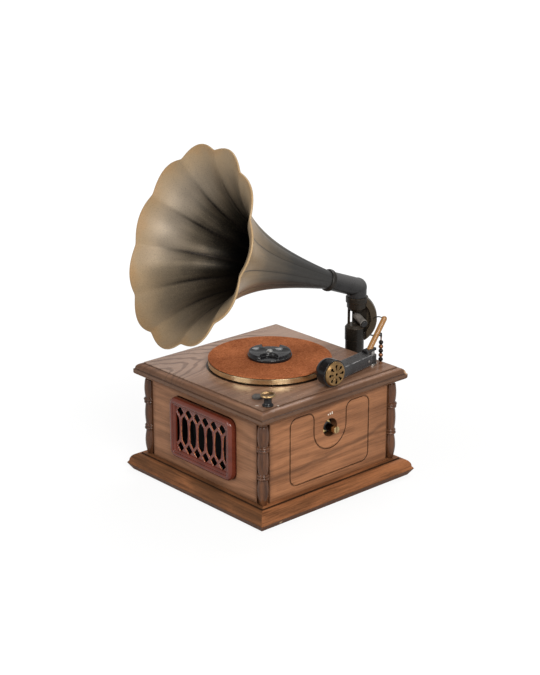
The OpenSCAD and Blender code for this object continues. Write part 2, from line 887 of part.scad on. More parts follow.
module selector_cap() {
    low = lid_top + selector_h - selector_cap_t;
    cap = selector_r + 1.6;
    color(brass) at_selector() rotate_extrude() polygon(concat(
        [[0, low], [selector_r - 0.8, low], [cap - 0.6, low + 0.9]],
        arc(cap - 0.7, low + 1.7, 0.7, 0.9, -60, 150, 6),
        [[cap * 0.6, low + 1.7], [0, low + 1.3]]));
}

module lid_pad() {
    color(slate) translate([pad_at[0], pad_at[1], lid_top]) {
        cylinder(h = 1.6, r = 4.6);
        translate([0, 0, 1.6]) cylinder(h = 0.6, r1 = 4.6, r2 = 4);
    }
}

// Volume control, drawn on the front and turned to the right

plate_screw_len = 5;
plate_size = [36, 30];
module each_plate_screw() {
    for (x = [-1, 1]) translate([x * (plate_size[0] / 2 - 4), -inner, volume_z]) children();
}

module volume_bracket() {
    color(steel) on_side(1) difference() {
        union() {
            translate([0, 0, volume_z]) facing(-inner + volume_plate_t, volume_plate_t)
                rounded_rect(plate_size[0], plate_size[1], 3);
            each_plate_screw() translate([0, volume_plate_t, 0]) rotate([90, 0, 0]) {
                translate([0, 0, -1.2]) cylinder(h = 1.2, r = screw_head_r);
                cylinder(h = plate_screw_len, r = screw_r);
            }
        }
        bar_forward(0, -inner + 3, volume_z, volume_bush_r, 6);
    }
}

module volume_body() {
    depth = 10;
    back = -inner + volume_plate_t;
    color(slate) on_side(1) difference() {
        union() {
            bar_forward(0, back + depth, volume_z, 8.4, depth);
            bar_forward(0, back, volume_z, volume_bush_r, volume_plate_t + nut_t + 2);
        }
        bar_forward(0, back + depth - 2, volume_z, volume_shank_r + run, depth + 10);
    }
}

module volume_nut() {
    color(brass) on_side(1) translate([0, -inner, volume_z]) rotate([90, 0, 0]) difference() {
        cylinder(h = nut_t, r = nut_flat / 2 / cos(30), $fn = 6);
        translate([0, 0, -1]) cylinder(h = nut_t + 2, r = volume_bush_r);
    }
}

module volume_shaft() {
    back = -inner + volume_plate_t + 8 - seat;
    shoulder_at = -half + 0.5;
    split = [0.8, 3];
    color(steel) on_side(1) difference() {
        union() {
            bar_forward(0, back, volume_z, volume_shank_r, back - shoulder_at);
            translate([0, shoulder_at, volume_z]) rotate([90, 0, 0])
                cylinder(h = 0.5, r1 = volume_shank_r, r2 = volume_r);
            bar_forward(0, -half, volume_z, volume_r, volume_out);
        }
        translate([-split[0] / 2, -half - volume_out - 1, volume_z - volume_r - 1])
            cube([split[0], split[1] + 1, 2 * volume_r + 2]);
    }
}

// Tone arm, drawn along -Y from its post

module at_arm() {
    translate([arm_x, arm_y, lid_top]) rotate([0, 0, arm_turn]) children();
}

module across(y, z, r, w) {
    translate([-w / 2, y, z]) rotate([0, 90, 0]) cylinder(h = w, r = r);
}

module arm_post() {
    color(steel) translate([arm_x, arm_y, lid_top]) {
        cylinder(h = post_flange[1], r = post_flange[0]);
        cylinder(h = post_up, r = arm_post_r);
        translate([0, 0, 1.2 - lid_t]) cylinder(h = lid_t, r = arm_post_r - 0.5);
    }
}

module arm_yoke() {
    low = post_flange[1] + seat;
    outer = arm_w / 2 - arm_wall - seat;
    cheek = 1.5;
    boss_r = 2.5;
    color(steel) at_arm() difference() {
        union() {
            translate([0, 0, low]) cylinder(h = 7, r = yoke_r);
            translate([-outer, -pin_back, pin_up - 3]) cube([2 * outer, pin_back - 3, 2.8]);
            across(-pin_back, pin_up, boss_r, 2 * outer);
        }
        translate([cheek - outer, -pin_back - 4, pin_up - 5])
            cube([2 * (outer - cheek), pin_back - yoke_r + 3.4, 10]);
        translate([0, 0, low - 1]) cylinder(h = 9, r = arm_post_r + run);
        across(-pin_back, pin_up, pin_r + run, 2 * outer + 2);
    }
}

module arm_pin() {
    color(steel) at_arm() across(-pin_back, pin_up, pin_r, arm_w);
}

// Sound box outline: radius, and place along its own axis, front face at zero
module about_head() {
    translate([head_side, -arm_len, head_up]) rotate([0, 90, -arm_turn]) rotate_extrude() children();
}

head_front = 5.5;
function head_outline(grow) = concat(
    [[0, head_front + grow], [box_r + grow, head_front + grow]],
    arc(box_r - 5, head_front - 7, 5 + grow, 7 + grow, 0, -60, 8),
    [[box_r * 0.5, head_front - sound_depth - grow], [0, head_front - sound_depth - grow]]);

module tone_arm() {
    color(slate) at_arm() difference() {
        union() {
            translate([-arm_w / 2, -arm_end, arm_up]) cube([arm_w, arm_end - arm_start, arm_h]);
            translate([-arm_w / 2 + 2, -arm_end - 7, arm_up + 1.6]) cube([arm_w - 4, 8, arm_h - 2.6]);
        }
        translate([arm_wall - arm_w / 2, arm_wall - arm_end, arm_up - 1])
            cube([arm_w - 2 * arm_wall, arm_end, arm_h - arm_wall + 1]);
        across(-pin_back, pin_up, pin_r, arm_w + 2);
        about_head() polygon(head_outline(fit));
    }
}

module cartridge() {
    length = 14;
    front = arm_end - arm_wall - 1;
    top = arm_up + arm_h - arm_wall;
    color(black) at_arm() {
        translate([-3.6, -front, arm_up + 1]) cube([7.2, length, top - arm_up - 1]);
        translate([0, 4 - front, arm_up - 2.1]) cylinder(h = 3.2, r1 = 0.3, r2 = 0.9);
    }
}

module sound_box() {
    color(black) at_arm() about_head() polygon(head_outline(0));
}

module sound_box_cap() {
    slots = 8;
    color(brass) at_arm() difference() {
        about_head() polygon([
            [0, head_front], [cap_r, head_front], [cap_r, head_front + 0.8],
            [cap_r - 1.2, head_front + cap_t],
            [0, head_front + cap_t + 0.3]]);
        translate([head_side, -arm_len, head_up]) rotate([0, 90, -arm_turn]) {
            translate([0, 0, head_front + 0.8]) cylinder(h = cap_t, r = 1.2);
            for (a = [0 : 360 / slots : 359]) rotate([0, 0, a]) {
                translate([cap_r * 0.66, 0, head_front + 0.8]) cylinder(h = cap_t, r = 1.3);
                translate([cap_r * 0.34, -0.5, head_front + 0.8]) cube([cap_r * 0.32, 1, cap_t]);
            }
        }
    }
}

// Horn bracket: a foot on the back panel, a round post, and a head with a window between bar and rib

module each_foot_screw() {
    for (x = [-1, 1], z = [-1, 1])
        translate([
            x * (foot_size[0] / 2 - foot_edge), -half,
            foot_top - foot_size[2] / 2 + z * (foot_size[2] / 2 - foot_edge)])
            children();
}

module at_bracket() {
    translate([0, bracket_y, 0]) children();
}

// The collar stands a little to the side of the post
head_turn = 45;
web_front = 2.6;
collar_at = [collar_side * cos(head_turn), bracket_y + collar_side * sin(head_turn), 0];
module at_collar() {
    translate(collar_at) children();
}

bar_left = -6.6;
bar_t = 2.4;
slit = 1.6;
web_w = 18;
web_t = 2.2;
web_low = shoulder - 5;
module horn_bracket() {
    foot_low = foot_top - foot_size[2];
    strut = [foot_size[0] - 4 * screw_head_r - 3.6, foot_size[2] / 2];
    color(black) difference() {
        union() {
            translate([-foot_size[0] / 2, half, foot_low]) cube(foot_size);
            translate([-strut[0] / 2, half, foot_top - strut[1]]) cube([strut[0], bracket_out, strut[1]]);
            at_bracket() {
                translate([0, 0, foot_top - strut[1] - 4])
                    cylinder(h = shoulder - foot_top + strut[1] + 4, r = neck_r);
                translate([0, 0, shoulder - socket_h]) cylinder(h = socket_h, r = socket_r);
                translate([0, 0, shoulder])
                    cylinder(h = window_low - shoulder, r1 = socket_r, r2 = socket_r - 1.8);
                rotate([0, 0, head_turn]) {
                    translate([bar_left, -2, shoulder]) cube([bar_t, 7, collar_floor - shoulder]);
                    translate([bar_left + bar_t + slit, web_front, web_low])
                        cube([web_w, web_t, collar_floor - web_low]);
                    rib();
                }
            }
            at_collar() {
                translate([0, 0, window_top])
                    cylinder(h = collar_floor - window_top, r1 = collar_r - 3, r2 = collar_r - 1);
                translate([0, 0, collar_floor]) cylinder(h = collar_h, r = collar_r - 1);
                translate([0, 0, collar_top - collar_flange_h]) cylinder(h = collar_flange_h, r = collar_r);
            }
        }
        at_collar() translate([0, 0, collar_floor + 1]) cylinder(h = collar_h, r = spigot_r + run);
        on_side(2) each_foot_screw() rotate([90, 0, 0]) translate([0, 0, -1])
            cylinder(h = foot_size[1] + 2, r = screw_r + fit);
    }
}

// Curved rib on the right of the window, a sector of a ring standing on edge
rib_from = -56;
rib_sweep = 104;
module rib() {
    translate([rib_back, 0, rib_mid]) rotate([90, 0, 0]) rotate([0, 0, rib_from])
        rotate_extrude(angle = rib_sweep)
        translate([rib_r - rib_thick, -rib_wide / 2]) square([rib_thick, rib_wide]);
}

module bracket_screws() {
    color(steel) on_side(2) each_foot_screw() translate([0, -foot_size[1] - 0.01, 0]) rotate([-90, 0, 0]) {
        cylinder(h = foot_size[1] + panel_t - 1, r = screw_r);
        translate([0, 0, -1.6]) cylinder(h = 1.6, r = screw_head_r);
    }
}

// Stub of a tube that comes out of the window, cut flat where it meets the web
stub_from = [-0.6, 6, -5.8];
stub_to = [8, -5.5, -11.2];
stub_r = 3.4;
module at_window() {
    at_bracket() rotate([0, 0, head_turn]) translate([0, 0, window_top]) children();
}

module stub_tube() {
    color(slate) at_window() difference() {
        rod(stub_from, stub_to, stub_r);
        translate([-20, web_front, -40]) cube([40, 20, 60]);
    }
}

module stub_cap() {
    reach = (stub_to - stub_from) / norm(stub_to - stub_from);
    color(black) at_window() rod(stub_to, stub_to + 1.6 * reach, stub_r - 0.3);
}

// Elbow and horn, which turn in the collar

module along_horn() {
    at_collar() translate([0, 0, elbow_z]) rotate([90 - horn_rise, 0, horn_turn]) children();
}

// Spigot in the collar, a ball for the corner and a straight tube to the horn, all hollow
upright_more = 0.15;
ball_more = 0.35;
module horn_elbow() {
    spigot_low = collar_floor + 1 + seat;
    shoulder_z = collar_top + 0.2;
    upright_r = tube_r + upright_more;
    hollow_r = tube_r - tube_wall;
    color(slate) at_collar() rotate([0, 0, horn_turn]) difference() {
        union() {
            rotate_extrude() polygon([
                [0, spigot_low], [spigot_r, spigot_low], [spigot_r, shoulder_z], [upright_r, shoulder_z],
                [upright_r, elbow_z], [0, elbow_z]]);
            translate([0, 0, elbow_z]) sphere(tube_r + ball_more);
            translate([0, 0, elbow_z]) rotate([90 - horn_rise, 0, 0]) cylinder(h = tube_end, r = tube_r);
        }
        translate([0, 0, spigot_low - 1]) cylinder(h = elbow_z - spigot_low + 1, r = spigot_r - tube_wall);
        translate([0, 0, elbow_z]) sphere(hollow_r + ball_more);
        translate([0, 0, elbow_z]) rotate([90 - horn_rise, 0, 0]) cylinder(h = tube_end + 1, r = hollow_r);
    }
}

module horn_ring() {
    color(black) along_horn() translate([0, 0, tube_end - ring_len / 2]) rotate_extrude() polygon(concat(
        [[tube_r + fit, 0]],
        arc(tube_r + 0.6, ring_len / 2, 0.9, ring_len / 2, -90, 90, 8),
        [[tube_r + fit, ring_len]]));
}

// Flare: the throat stays straight for throat_len, then the radius grows by an exponential, a fourth
// power and a lip term
flare_k = 1.1;
flare_share = [0.485, 0.441, 0.074];
lip_power = 12;
function flare(u) = throat_r + (mouth_r - throat_r) * (
    flare_share[0] * (exp(flare_k * u) - 1) / (exp(flare_k) - 1)
    + flare_share[1] * pow(u, 4)
    + flare_share[2] * pow(u, lip_power));
function flare_slope(u) = (flare(u + 0.005) - flare(u - 0.005)) / 0.01 / (horn_len - throat_len);

// Crease between the petals: none at the middle of a petal, deepest on the seam, growing to the notch
// at the mouth
petal_phase = 28.6;
crease = 1.6;
function seam(a) = 1 - abs(sin(petals * (a - petal_phase) / 2));
function scallop(u, a) = seam(a) * (crease * u + (petal_notch - crease) * pow(u, 5));

horn_rings = 14;
petal_steps = 8;
horn_sides = petals * petal_steps;
function ring_u(i) = i <= 1 ? 0 : 1 - pow(1 - (i - 1) / (horn_rings - 1), 1.35);
function ring_z(i) = i == 0 ? 0 : throat_len + (horn_len - throat_len) * ring_u(i);
// Point of ring i and side j, moved inward by t square to the wall
function horn_point(i, j, t) = let (
        u = ring_u(i),
        a = 360 * (j / horn_sides) + petal_phase,
        lean = i <= 1 ? 0 : atan(flare_slope(u)),
        r = flare(u) - scallop(u, a) - t * cos(lean))
    [r * cos(a), r * sin(a), ring_z(i) + t * sin(lean)];

module horn() {
    n = horn_sides;
    m = horn_rings + 1;
    points = concat(
        [for (i = [0 : m - 1], j = [0 : n - 1]) horn_point(i, j, 0)],
        [for (i = [0 : m - 1], j = [0 : n - 1]) horn_point(i, j, horn_wall)]);
    function id(side, i, j) = side * m * n + i * n + (j % n);
    outer = [for (i = [0 : m - 2], j = [0 : n - 1]) each [
        [id(0, i, j), id(0, i + 1, j), id(0, i + 1, j + 1)],
        [id(0, i, j), id(0, i + 1, j + 1), id(0, i, j + 1)]]];
    inside = [for (i = [0 : m - 2], j = [0 : n - 1]) each [
        [id(1, i, j), id(1, i + 1, j + 1), id(1, i + 1, j)],
        [id(1, i, j), id(1, i, j + 1), id(1, i + 1, j + 1)]]];
    throat = [for (j = [0 : n - 1]) each [
        [id(0, 0, j), id(0, 0, j + 1), id(1, 0, j + 1)], [id(0, 0, j), id(1, 0, j + 1), id(1, 0, j)]]];
    lip = [for (j = [0 : n - 1]) each [
        [id(0, m - 1, j), id(1, m - 1, j + 1), id(0, m - 1, j + 1)],
        [id(0, m - 1, j), id(1, m - 1, j), id(1, m - 1, j + 1)]]];
    color(bronze) along_horn() translate([0, 0, tube_end])
        polyhedron(points, concat(outer, inside, throat, lip), convexity = 10);
}

// Peg, hook, chain and wire

peg_dir = [0, sin(peg_lean), cos(peg_lean)];
peg_top = peg_foot + peg_len * peg_dir;

// Block over the arm post, with a slanting hole for the peg's tenon
module peg_block() {
    color(black) difference() {
        at_arm() translate([-hump[0] / 2, arm_post_r - hump[1], post_up]) cube(hump);
        rod(peg_foot - tenon[1] * peg_dir, peg_foot + 6 * peg_dir, tenon[0] + fit);
    }
}

// Round peg with a domed end, cut level where it stands on its block
module wooden_peg() {
    dome = [for (a = [0:10:80]) [peg_r * cos(a), peg_len + peg_r * sin(a)]];
    color(amber) difference() {
        union() {
            difference() {
                translate(peg_foot) rotate([-peg_lean, 0, 0])
                    rotate_extrude() polygon(concat([[0, -2 * peg_r], [peg_r, -2 * peg_r]], dome,
                        [[0, peg_len + peg_r]]));
                translate([arm_x - 10, arm_y - 15, lid_top + post_up + hump[2] - 12]) cube([20, 25, 12]);
            }
            rod(peg_foot - tenon[1] * peg_dir, peg_foot + peg_r * peg_dir, tenon[0]);
        }
        hook_wire();
    }
}

// Bent pin through the peg, with both ends turned up
hook_mid = peg_foot + hook_at * peg_dir;
hook_side = [cos(hook_turn), sin(hook_turn), 0];
module hook_wire() {
    for (s = [-1, 1])
        rod(
            hook_mid - s * hook_r * hook_side,
            hook_mid + s * hook_reach * hook_side + [0, 0, hook_rise], hook_r);
}

module hook_pin() {
    color(black) hook_wire();
}

hang = hook_mid + (peg_r + hang_at) * hook_side;
eyelet_r = 1;
chain_beads = 5;
module chain_foot() {
    translate([hang[0], hang[1], lid_top]) children();
}

// Ring standing on edge round the hook, with its lowest point at level z
module chain_ring(z, r, wire) {
    chain_foot() translate([0, 0, z + r]) rotate([90, 0, 90 + hook_turn]) rotate_extrude()
        translate([r - wire, 0]) circle(wire);
}

module bead_chain() {
    top = hook_mid[2] + hook_rise * (peg_r + hang_at) / hook_reach - lid_top;
    loop_r = 2.4;
    loop_wire = 0.6;
    loop_low = top + hook_r + seat + 2 * loop_wire - 2 * loop_r;
    color(copper) {
        chain_foot() translate([0, 0, -3]) cylinder(h = loop_low + 3.6, r = 0.7);
        chain_foot() translate([0, 0, -3]) cylinder(h = 3, r = eyelet_r);
        chain_foot() cylinder(h = 1.4, r1 = chain_bead_r + 0.8, r2 = chain_bead_r);
        chain_ring(loop_low, loop_r, loop_wire);
        for (i = [1 : chain_beads])
            chain_foot() translate([0, 0, i / (chain_beads + 1) * loop_low]) sphere(chain_bead_r);
    }
}

// Bowed wire from the top of the peg to the rib, a tube swept along an arc of points
wire_sides = 8;
wire_steps = 16;
wire_bow = 1.5;
wire_side = rib_back + rib_r - rib_thick / 2;
wire_front = rib_wide / 2 + wire_r;
wire_to = [
    wire_side * cos(head_turn) + wire_front * sin(head_turn),
    bracket_y + wire_side * sin(head_turn) - wire_front * cos(head_turn),
    rib_mid + 1];
wire_from = peg_top + peg_r * (wire_to - peg_top) / norm(wire_to - peg_top);
function wire_at(t) = wire_from + t * (wire_to - wire_from) + [0, 0, wire_bow * sin(180 * t)];
module stay_wire() {
    along = (wire_to - wire_from) / norm(wire_to - wire_from);
    side = cross(along, [0, 0, 1]) / norm(cross(along, [0, 0, 1]));
    lift = cross(side, along);
    n = wire_sides;
    points = [for (i = [0 : wire_steps], j = [0 : n - 1])
        wire_at(i / wire_steps) + wire_r * (cos(360 * j / n) * side + sin(360 * j / n) * lift)];
    walls = [for (i = [0 : wire_steps - 1], j = [0 : n - 1]) let (k = (j + 1) % n) each [
        [i * n + j, i * n + k, (i + 1) * n + k], [i * n + j, (i + 1) * n + k, (i + 1) * n + j]]];
    ends = [for (j = [1 : n - 2]) each [
        [0, j + 1, j], [wire_steps * n, wire_steps * n + j, wire_steps * n + j + 1]]];
    color(black) polyhedron(points, concat(walls, ends));
}

plinth();
bottom_board();
bottom_screws();
front_panel();
right_panel();
back_panel();
left_panel();
corner_blocks();
front_left_post();
front_right_post();
back_right_post();
back_left_post();
lid_apron();
lid_board();
grille();
speaker_basket();
speaker_cone();
speaker_magnet();
speaker_screws();
amplifier_board();
board_posts();
transformer();
cord_bush();
motor();
motor_pulley();
drive_belt();
spindle_bush();
spindle();
platter();
platter_rim();
platter_mat();
record_adapter();
selector_switch();
selector_stem();
selector_cap();
lid_pad();
volume_bracket();
volume_body();
volume_nut();
volume_shaft();
arm_post();
arm_yoke();
arm_pin();
tone_arm();
cartridge();
sound_box();
sound_box_cap();
horn_bracket();
bracket_screws();
stub_tube();
stub_cap();
horn_elbow();
horn_ring();
horn();
peg_block();
wooden_peg();
hook_pin();
bead_chain();
stay_wire();
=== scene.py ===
# %% [markdown]
# # Dressing a horn phonograph
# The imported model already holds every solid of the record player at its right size.
# Here each solid gets a finish, and the pieces whose charm is in fine relief are made again as surfaces.

import bpy
import numpy as np
from mathutils import Matrix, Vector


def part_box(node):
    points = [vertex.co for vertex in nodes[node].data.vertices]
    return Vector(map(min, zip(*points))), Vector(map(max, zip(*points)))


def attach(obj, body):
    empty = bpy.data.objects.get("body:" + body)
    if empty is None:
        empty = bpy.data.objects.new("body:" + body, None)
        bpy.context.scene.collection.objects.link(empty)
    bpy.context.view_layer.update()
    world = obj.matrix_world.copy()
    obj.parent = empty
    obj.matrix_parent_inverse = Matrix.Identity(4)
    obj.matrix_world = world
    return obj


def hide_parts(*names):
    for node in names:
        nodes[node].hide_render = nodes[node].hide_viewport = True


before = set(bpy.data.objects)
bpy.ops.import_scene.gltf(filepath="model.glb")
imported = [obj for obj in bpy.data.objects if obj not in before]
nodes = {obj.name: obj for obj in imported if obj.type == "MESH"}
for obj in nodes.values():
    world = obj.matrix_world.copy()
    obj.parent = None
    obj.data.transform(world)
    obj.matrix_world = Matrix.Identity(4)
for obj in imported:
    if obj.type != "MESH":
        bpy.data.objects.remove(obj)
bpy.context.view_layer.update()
scene = bpy.context.scene

# %% [markdown]
# ## The camera
# A long lens looks down at the box's right front corner, from 48 degrees round and 19 degrees up.
# The three directions of the camera are worked out from those two angles, so nothing is tilted.

# %% Place the camera
turn, pitch = np.radians(48.05), np.radians(19.08)
camera_at = 0.9879, -0.8878, 0.5837
right = np.array([np.cos(turn), np.sin(turn), 0.0])
back = np.array([np.sin(turn) * np.cos(pitch), -np.cos(turn) * np.cos(pitch), np.sin(pitch)])
up = np.cross(back, right)
pose = np.eye(4)
pose[:3, :3] = np.stack([right, up, back], axis=1)
pose[:3, 3] = camera_at
lens = bpy.data.cameras.new("camera")
lens.lens = 87.96
lens.clip_end = 20.0
camera = bpy.data.objects.new("camera", lens)
camera.matrix_world = Matrix(pose.tolist())
scene.collection.objects.link(camera)
scene.camera = camera
print("camera at", camera_at)

# %% [markdown]
# ## Surfaces from arrays
# A new piece is a grid of points: rows run one way over the surface, columns the other.
# One helper numbers the quads of such a grid, and one turns points and quads into an object that rides on a body.

# %% Grid and piece helpers
def grid_quads(rows, columns, wrap=False):
    """Corner numbers of each quad of a grid; with wrap the last column joins the first again."""
    i, j = np.meshgrid(np.arange(rows - 1), np.arange(columns if wrap else columns - 1), indexing="ij")
    k = (j + 1) % columns
    corners = [i * columns + j, i * columns + k, (i + 1) * columns + k, (i + 1) * columns + j]
    return np.stack(corners, -1).reshape(-1, 4)


def tyre_quads(rows, columns):
    """Quads of a grid that wraps both ways, so that the last row joins the first as well."""
    return grid_quads(rows + 1, columns, wrap=True) % (rows * columns)


def end_caps(rows, columns):
    """The first and last ring of a turned grid, each as one face that closes it below or above."""
    low, high = range(columns), range((rows - 1) * columns, rows * columns)
    return [list(low)[::-1], list(high)]


def add_piece(name, points, quads, finishes, body, replaces=(), caps=()):
    """A smooth mesh object at the origin; points in metres, in the same frame as the solids."""
    mesh = bpy.data.meshes.new(name)
    mesh.from_pydata(np.asarray(points, float).tolist(), [], np.asarray(quads).tolist() + list(caps))
    mesh.polygons.foreach_set("use_smooth", np.ones(len(mesh.polygons), bool))
    for finish in finishes:
        mesh.materials.append(finish)
    piece = bpy.data.objects.new(name, mesh)
    scene.collection.objects.link(piece)
    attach(piece, body)
    if replaces:
        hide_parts(*replaces)
    print(name, len(mesh.vertices), "points,", len(mesh.polygons), "faces")
    return piece


# %% [markdown]
# ## Writing finishes as sums
# A finish is a small web of shader nodes. Wrapping a socket in a class lets the web be written as ordinary sums:
# each plus, minus or times adds a Math node, and one method adds a node of any other kind.

# %% The wire class
class Wire:
    """One socket of a material's node web. Sums of wires and numbers add Math nodes; node() adds any other kind."""

    def __init__(self, tree, socket=None):
        self.tree = tree
        self.socket = socket

    def node(self, kind, settings={}, sockets={}, out=0):
        """Adds a node: its settings first, then a value or a link for each socket. Gives the wire of one output."""
        made = self.tree.nodes.new("ShaderNode" + kind)
        for key, value in settings.items():
            if key == "stops":
                band = made.color_ramp.elements
                band[0].position, band[1].position = value[0][0], value[-1][0]
                band[0].color, band[1].color = (*value[0][1], 1), (*value[-1][1], 1)
                for place, colour in value[1:-1]:
                    band.new(place).color = (*colour, 1)
            else:
                setattr(made, key, value)
        for key, value in sockets.items():
            if isinstance(value, Wire):
                self.tree.links.new(value.socket, made.inputs[key])
            else:
                made.inputs[key].default_value = value
        return Wire(self.tree, made.outputs[out])

    def math(self, operation, first, second=0.0):
        """A Math node on two wires or numbers."""
        return self.node("Math", {"operation": operation}, {0: first, 1: second})

    def __add__(self, other):
        return self.math("ADD", self, other)

    def __sub__(self, other):
        return self.math("SUBTRACT", self, other)

    def __rsub__(self, other):
        return self.math("SUBTRACT", other, self)

    def __mul__(self, other):
        return self.math("MULTIPLY", self, other)

    def __truediv__(self, other):
        return self.math("DIVIDE", self, other)

    def __rtruediv__(self, other):
        return self.math("DIVIDE", other, self)

    def __pow__(self, other):
        return self.math("POWER", self, other)

    def __abs__(self):
        return self.math("ABSOLUTE", self)

    __radd__, __rmul__ = __add__, __mul__

    def most(self, other):
        """The larger of the two."""
        return self.math("MAXIMUM", self, other)

    def least(self, other):
        """The smaller of the two."""
        return self.math("MINIMUM", self, other)

    def rise(self, low, high):
        """Soft step: 0 below low, 1 above high. With low above high it falls instead."""
        return self.node(
            "MapRange", {"interpolation_type": "SMOOTHSTEP"}, {"Value": self, "From Min": low, "From Max": high})

    def mix(self, first, second):
        """Colour between first and second, by this wire as the factor."""
        first, second = ((*c, 1) if isinstance(c, tuple) and len(c) == 3 else c for c in (first, second))
        return self.node("Mix", {"data_type": "RGBA"}, {0: self, 6: first, 7: second}, out=2)

    def band(self, *stops):
        """Colour read off a ramp of (place, colour) stops."""
        return self.node("ValToRGB", {"stops": stops}, {0: self})


def new_finish(name):
    """An empty material, and a loose wire to build its web with."""
    material = bpy.data.materials.new(name)
    material.use_nodes = True
    return material, Wire(material.node_tree)


def settle(material, **inputs):
    """Plugs wires into the material's shader, and sets plain numbers and colours on its own sockets."""
    shader = next(n for n in material.node_tree.nodes if n.type == "BSDF_PRINCIPLED")
    for key, value in inputs.items():
        socket = shader.inputs[key.replace("_", " ")]
        if isinstance(value, Wire):
            material.node_tree.links.new(value.socket, socket)
        else:
            socket.default_value = (*value, 1) if isinstance(value, tuple) and len(value) == 3 else value
    return material


# %% Places and noises
def spot_of(web):
    """Object coordinates in metres, as a vector wire."""
    return web.node("TexCoord", out="Object")


def parts_of(web, vector, axes="XYZ"):
    """The named numbers of a vector wire."""
    return [web.node("SeparateXYZ", {}, {0: vector}, out=axis) for axis in axes]


def joined(web, **numbers):
    """A vector wire from its X, Y and Z; one that is not given is 0."""
    return web.node("CombineXYZ", {}, numbers)


def grainy(web, spot, scale, detail=3.0, rough=0.55, twist=0.0):
    """Cloudy noise from 0 to 1, centred near one half. Three scales in place of one stretch it along an axis."""
    if isinstance(scale, tuple):
        spot, scale = web.node("Mapping", {}, {"Vector": spot, "Scale": scale}), 1.0
    return web.node("TexNoise", {}, {
        "Vector": spot, "Scale": scale, "Detail": detail, "Roughness": rough, "Distortion": twist})


def rounded(web, radius):
    """The normal with sharp edges rounded by a radius in metres."""
    return web.node("Bevel", {"samples": 4}, {"Radius": radius})


def sharpness(web, bevel):
    """0 on a face and more at an edge: one minus the dot product of the rounded normal and the true one."""
    true_normal = web.node("NewGeometry", out="Normal")
    return 1 - web.node("VectorMath", {"operation": "DOT_PRODUCT"}, {0: bevel, 1: true_normal}, out="Value")


def away_from(place, *wires):
    """Distance between the spot with these coordinates and a place, as the root of the sum of squares."""
    squares = [(wire - float(middle)) ** 2.0 for wire, middle in zip(wires, place)]
    return sum(squares[1:], squares[0]) ** 0.5


def bumped(web, height, depth, strength=1.0, under=None):
    """A normal tilted by a height wire that spans depth metres, on top of the normal under it."""
    sockets = {"Height": height, "Distance": depth, "Strength": strength}
    if under is not None:
        sockets["Normal"] = under
    return web.node("Bump", {}, sockets, out="Normal")


# %% [markdown]
# ## Walnut
# Walnut shows slow bands of growth, thin darker streaks along the grain and fine open pores.
# All of them are noises squeezed across the grain, so one function serves every board, given the way its grain runs.
# On the mouldings the grain follows each side and turns at the mitre, where both distances from the middle are equal.
# The varnish is thin, so the mirror share is low, and the edges are rubbed pale in spots: part wear, part painted
# highlight.
# An Ambient Occlusion node finds the grooves and hollows of the mouldings and darkens them: painted shade.

# %% The walnut function
lid_edge = 0.0990, 0.0996


def walnut(name, run, light, dark, rough=0.40, shift=0.0, extras=None, shine=0.14, hollow_shade=0.85):
    """Wood with its grain along run, between a dark and a light brown: a sine for the growth bands plus noises
    stretched along the grain, pores, pale edges that are part wear and part painted highlight, and painted shade
    in the hollows. shift moves along the tree."""
    material, web = new_finish(name)
    spot = spot_of(web)
    x, y, z = parts_of(web, spot)
    if run in ("mitred", "lid"):
        side = (abs(x) - abs(y)).rise(-0.0002, 0.0002)
        along, across, deep = side * y + (1 - side) * x, side * x + (1 - side) * y, z
    else:
        along, across, deep = {"x": (x, z, y), "y": (y, z, x), "z": (z, x, y)}[run]
    if run == "lid":
        top = z.rise(*lid_edge)
        along, across = top * y + (1 - top) * along, top * x + (1 - top) * z
    board = joined(web, X=along + shift, Y=across, Z=deep)
    slow = grainy(web, board, (7.0, 34.0, 34.0), 2.0)
    wave = web.math("SINE", across * 520.0 + along * 22.0 + slow * 26.0) * 0.5 + 0.5
    fibre = grainy(web, board, (55.0, 1500.0, 1500.0), 4.0, 0.6)
    streak = grainy(web, board, (9.0, 150.0, 150.0), 3.0, 0.6)
    pores = grainy(web, board, (130.0, 2600.0, 2600.0), 2.0).rise(0.60, 0.72)
    lines = grainy(web, board, (22.0, 520.0, 520.0), 3.0, 0.6)
    tone = wave * 0.22 + streak * 0.60 + lines * 0.60 + fibre * 0.75 - 0.58
    colour = tone.rise(0.05, 0.95).mix(dark, light)
    colour = (pores * 0.55).mix(colour, tuple(0.30 * c for c in dark))
    bevel = rounded(web, 0.0009)
    # Pale edges in patches: part wear, part painted highlight along the edges.
    worn_and_lit_edge = (sharpness(web, bevel) * 5.0).least(1.0) * grainy(web, spot, 160.0, 3.0).rise(0.50, 0.68)
    colour = (worn_and_lit_edge * 0.40).mix(colour, tuple(min(1.0, 1.9 * c + 0.02) for c in light))
    # Painted shade: the Ambient Occlusion node darkens the hollows and grooves.
    open_sky = web.node("AmbientOcclusion", {"samples": 6, "only_local": True}, {"Distance": 0.005}, out="AO")
    colour = (open_sky.rise(0.92, 0.40) * hollow_shade).mix(colour, tuple(0.16 * c for c in dark))
    if extras:
        colour = extras(web, colour, x, y, z)
    patch = grainy(web, spot, 45.0, 2.0).rise(0.45, 0.75)
    return settle(
        material, Base_Color=colour, Roughness=rough + 0.10 * fibre + 0.08 * patch - 0.07, Specular_IOR_Level=shine,
        Coat_Weight=0.03 + patch * 0.05, Coat_Roughness=0.12,
        Normal=bumped(web, fibre * 0.5 - pores, 0.00014, 0.5, bevel))
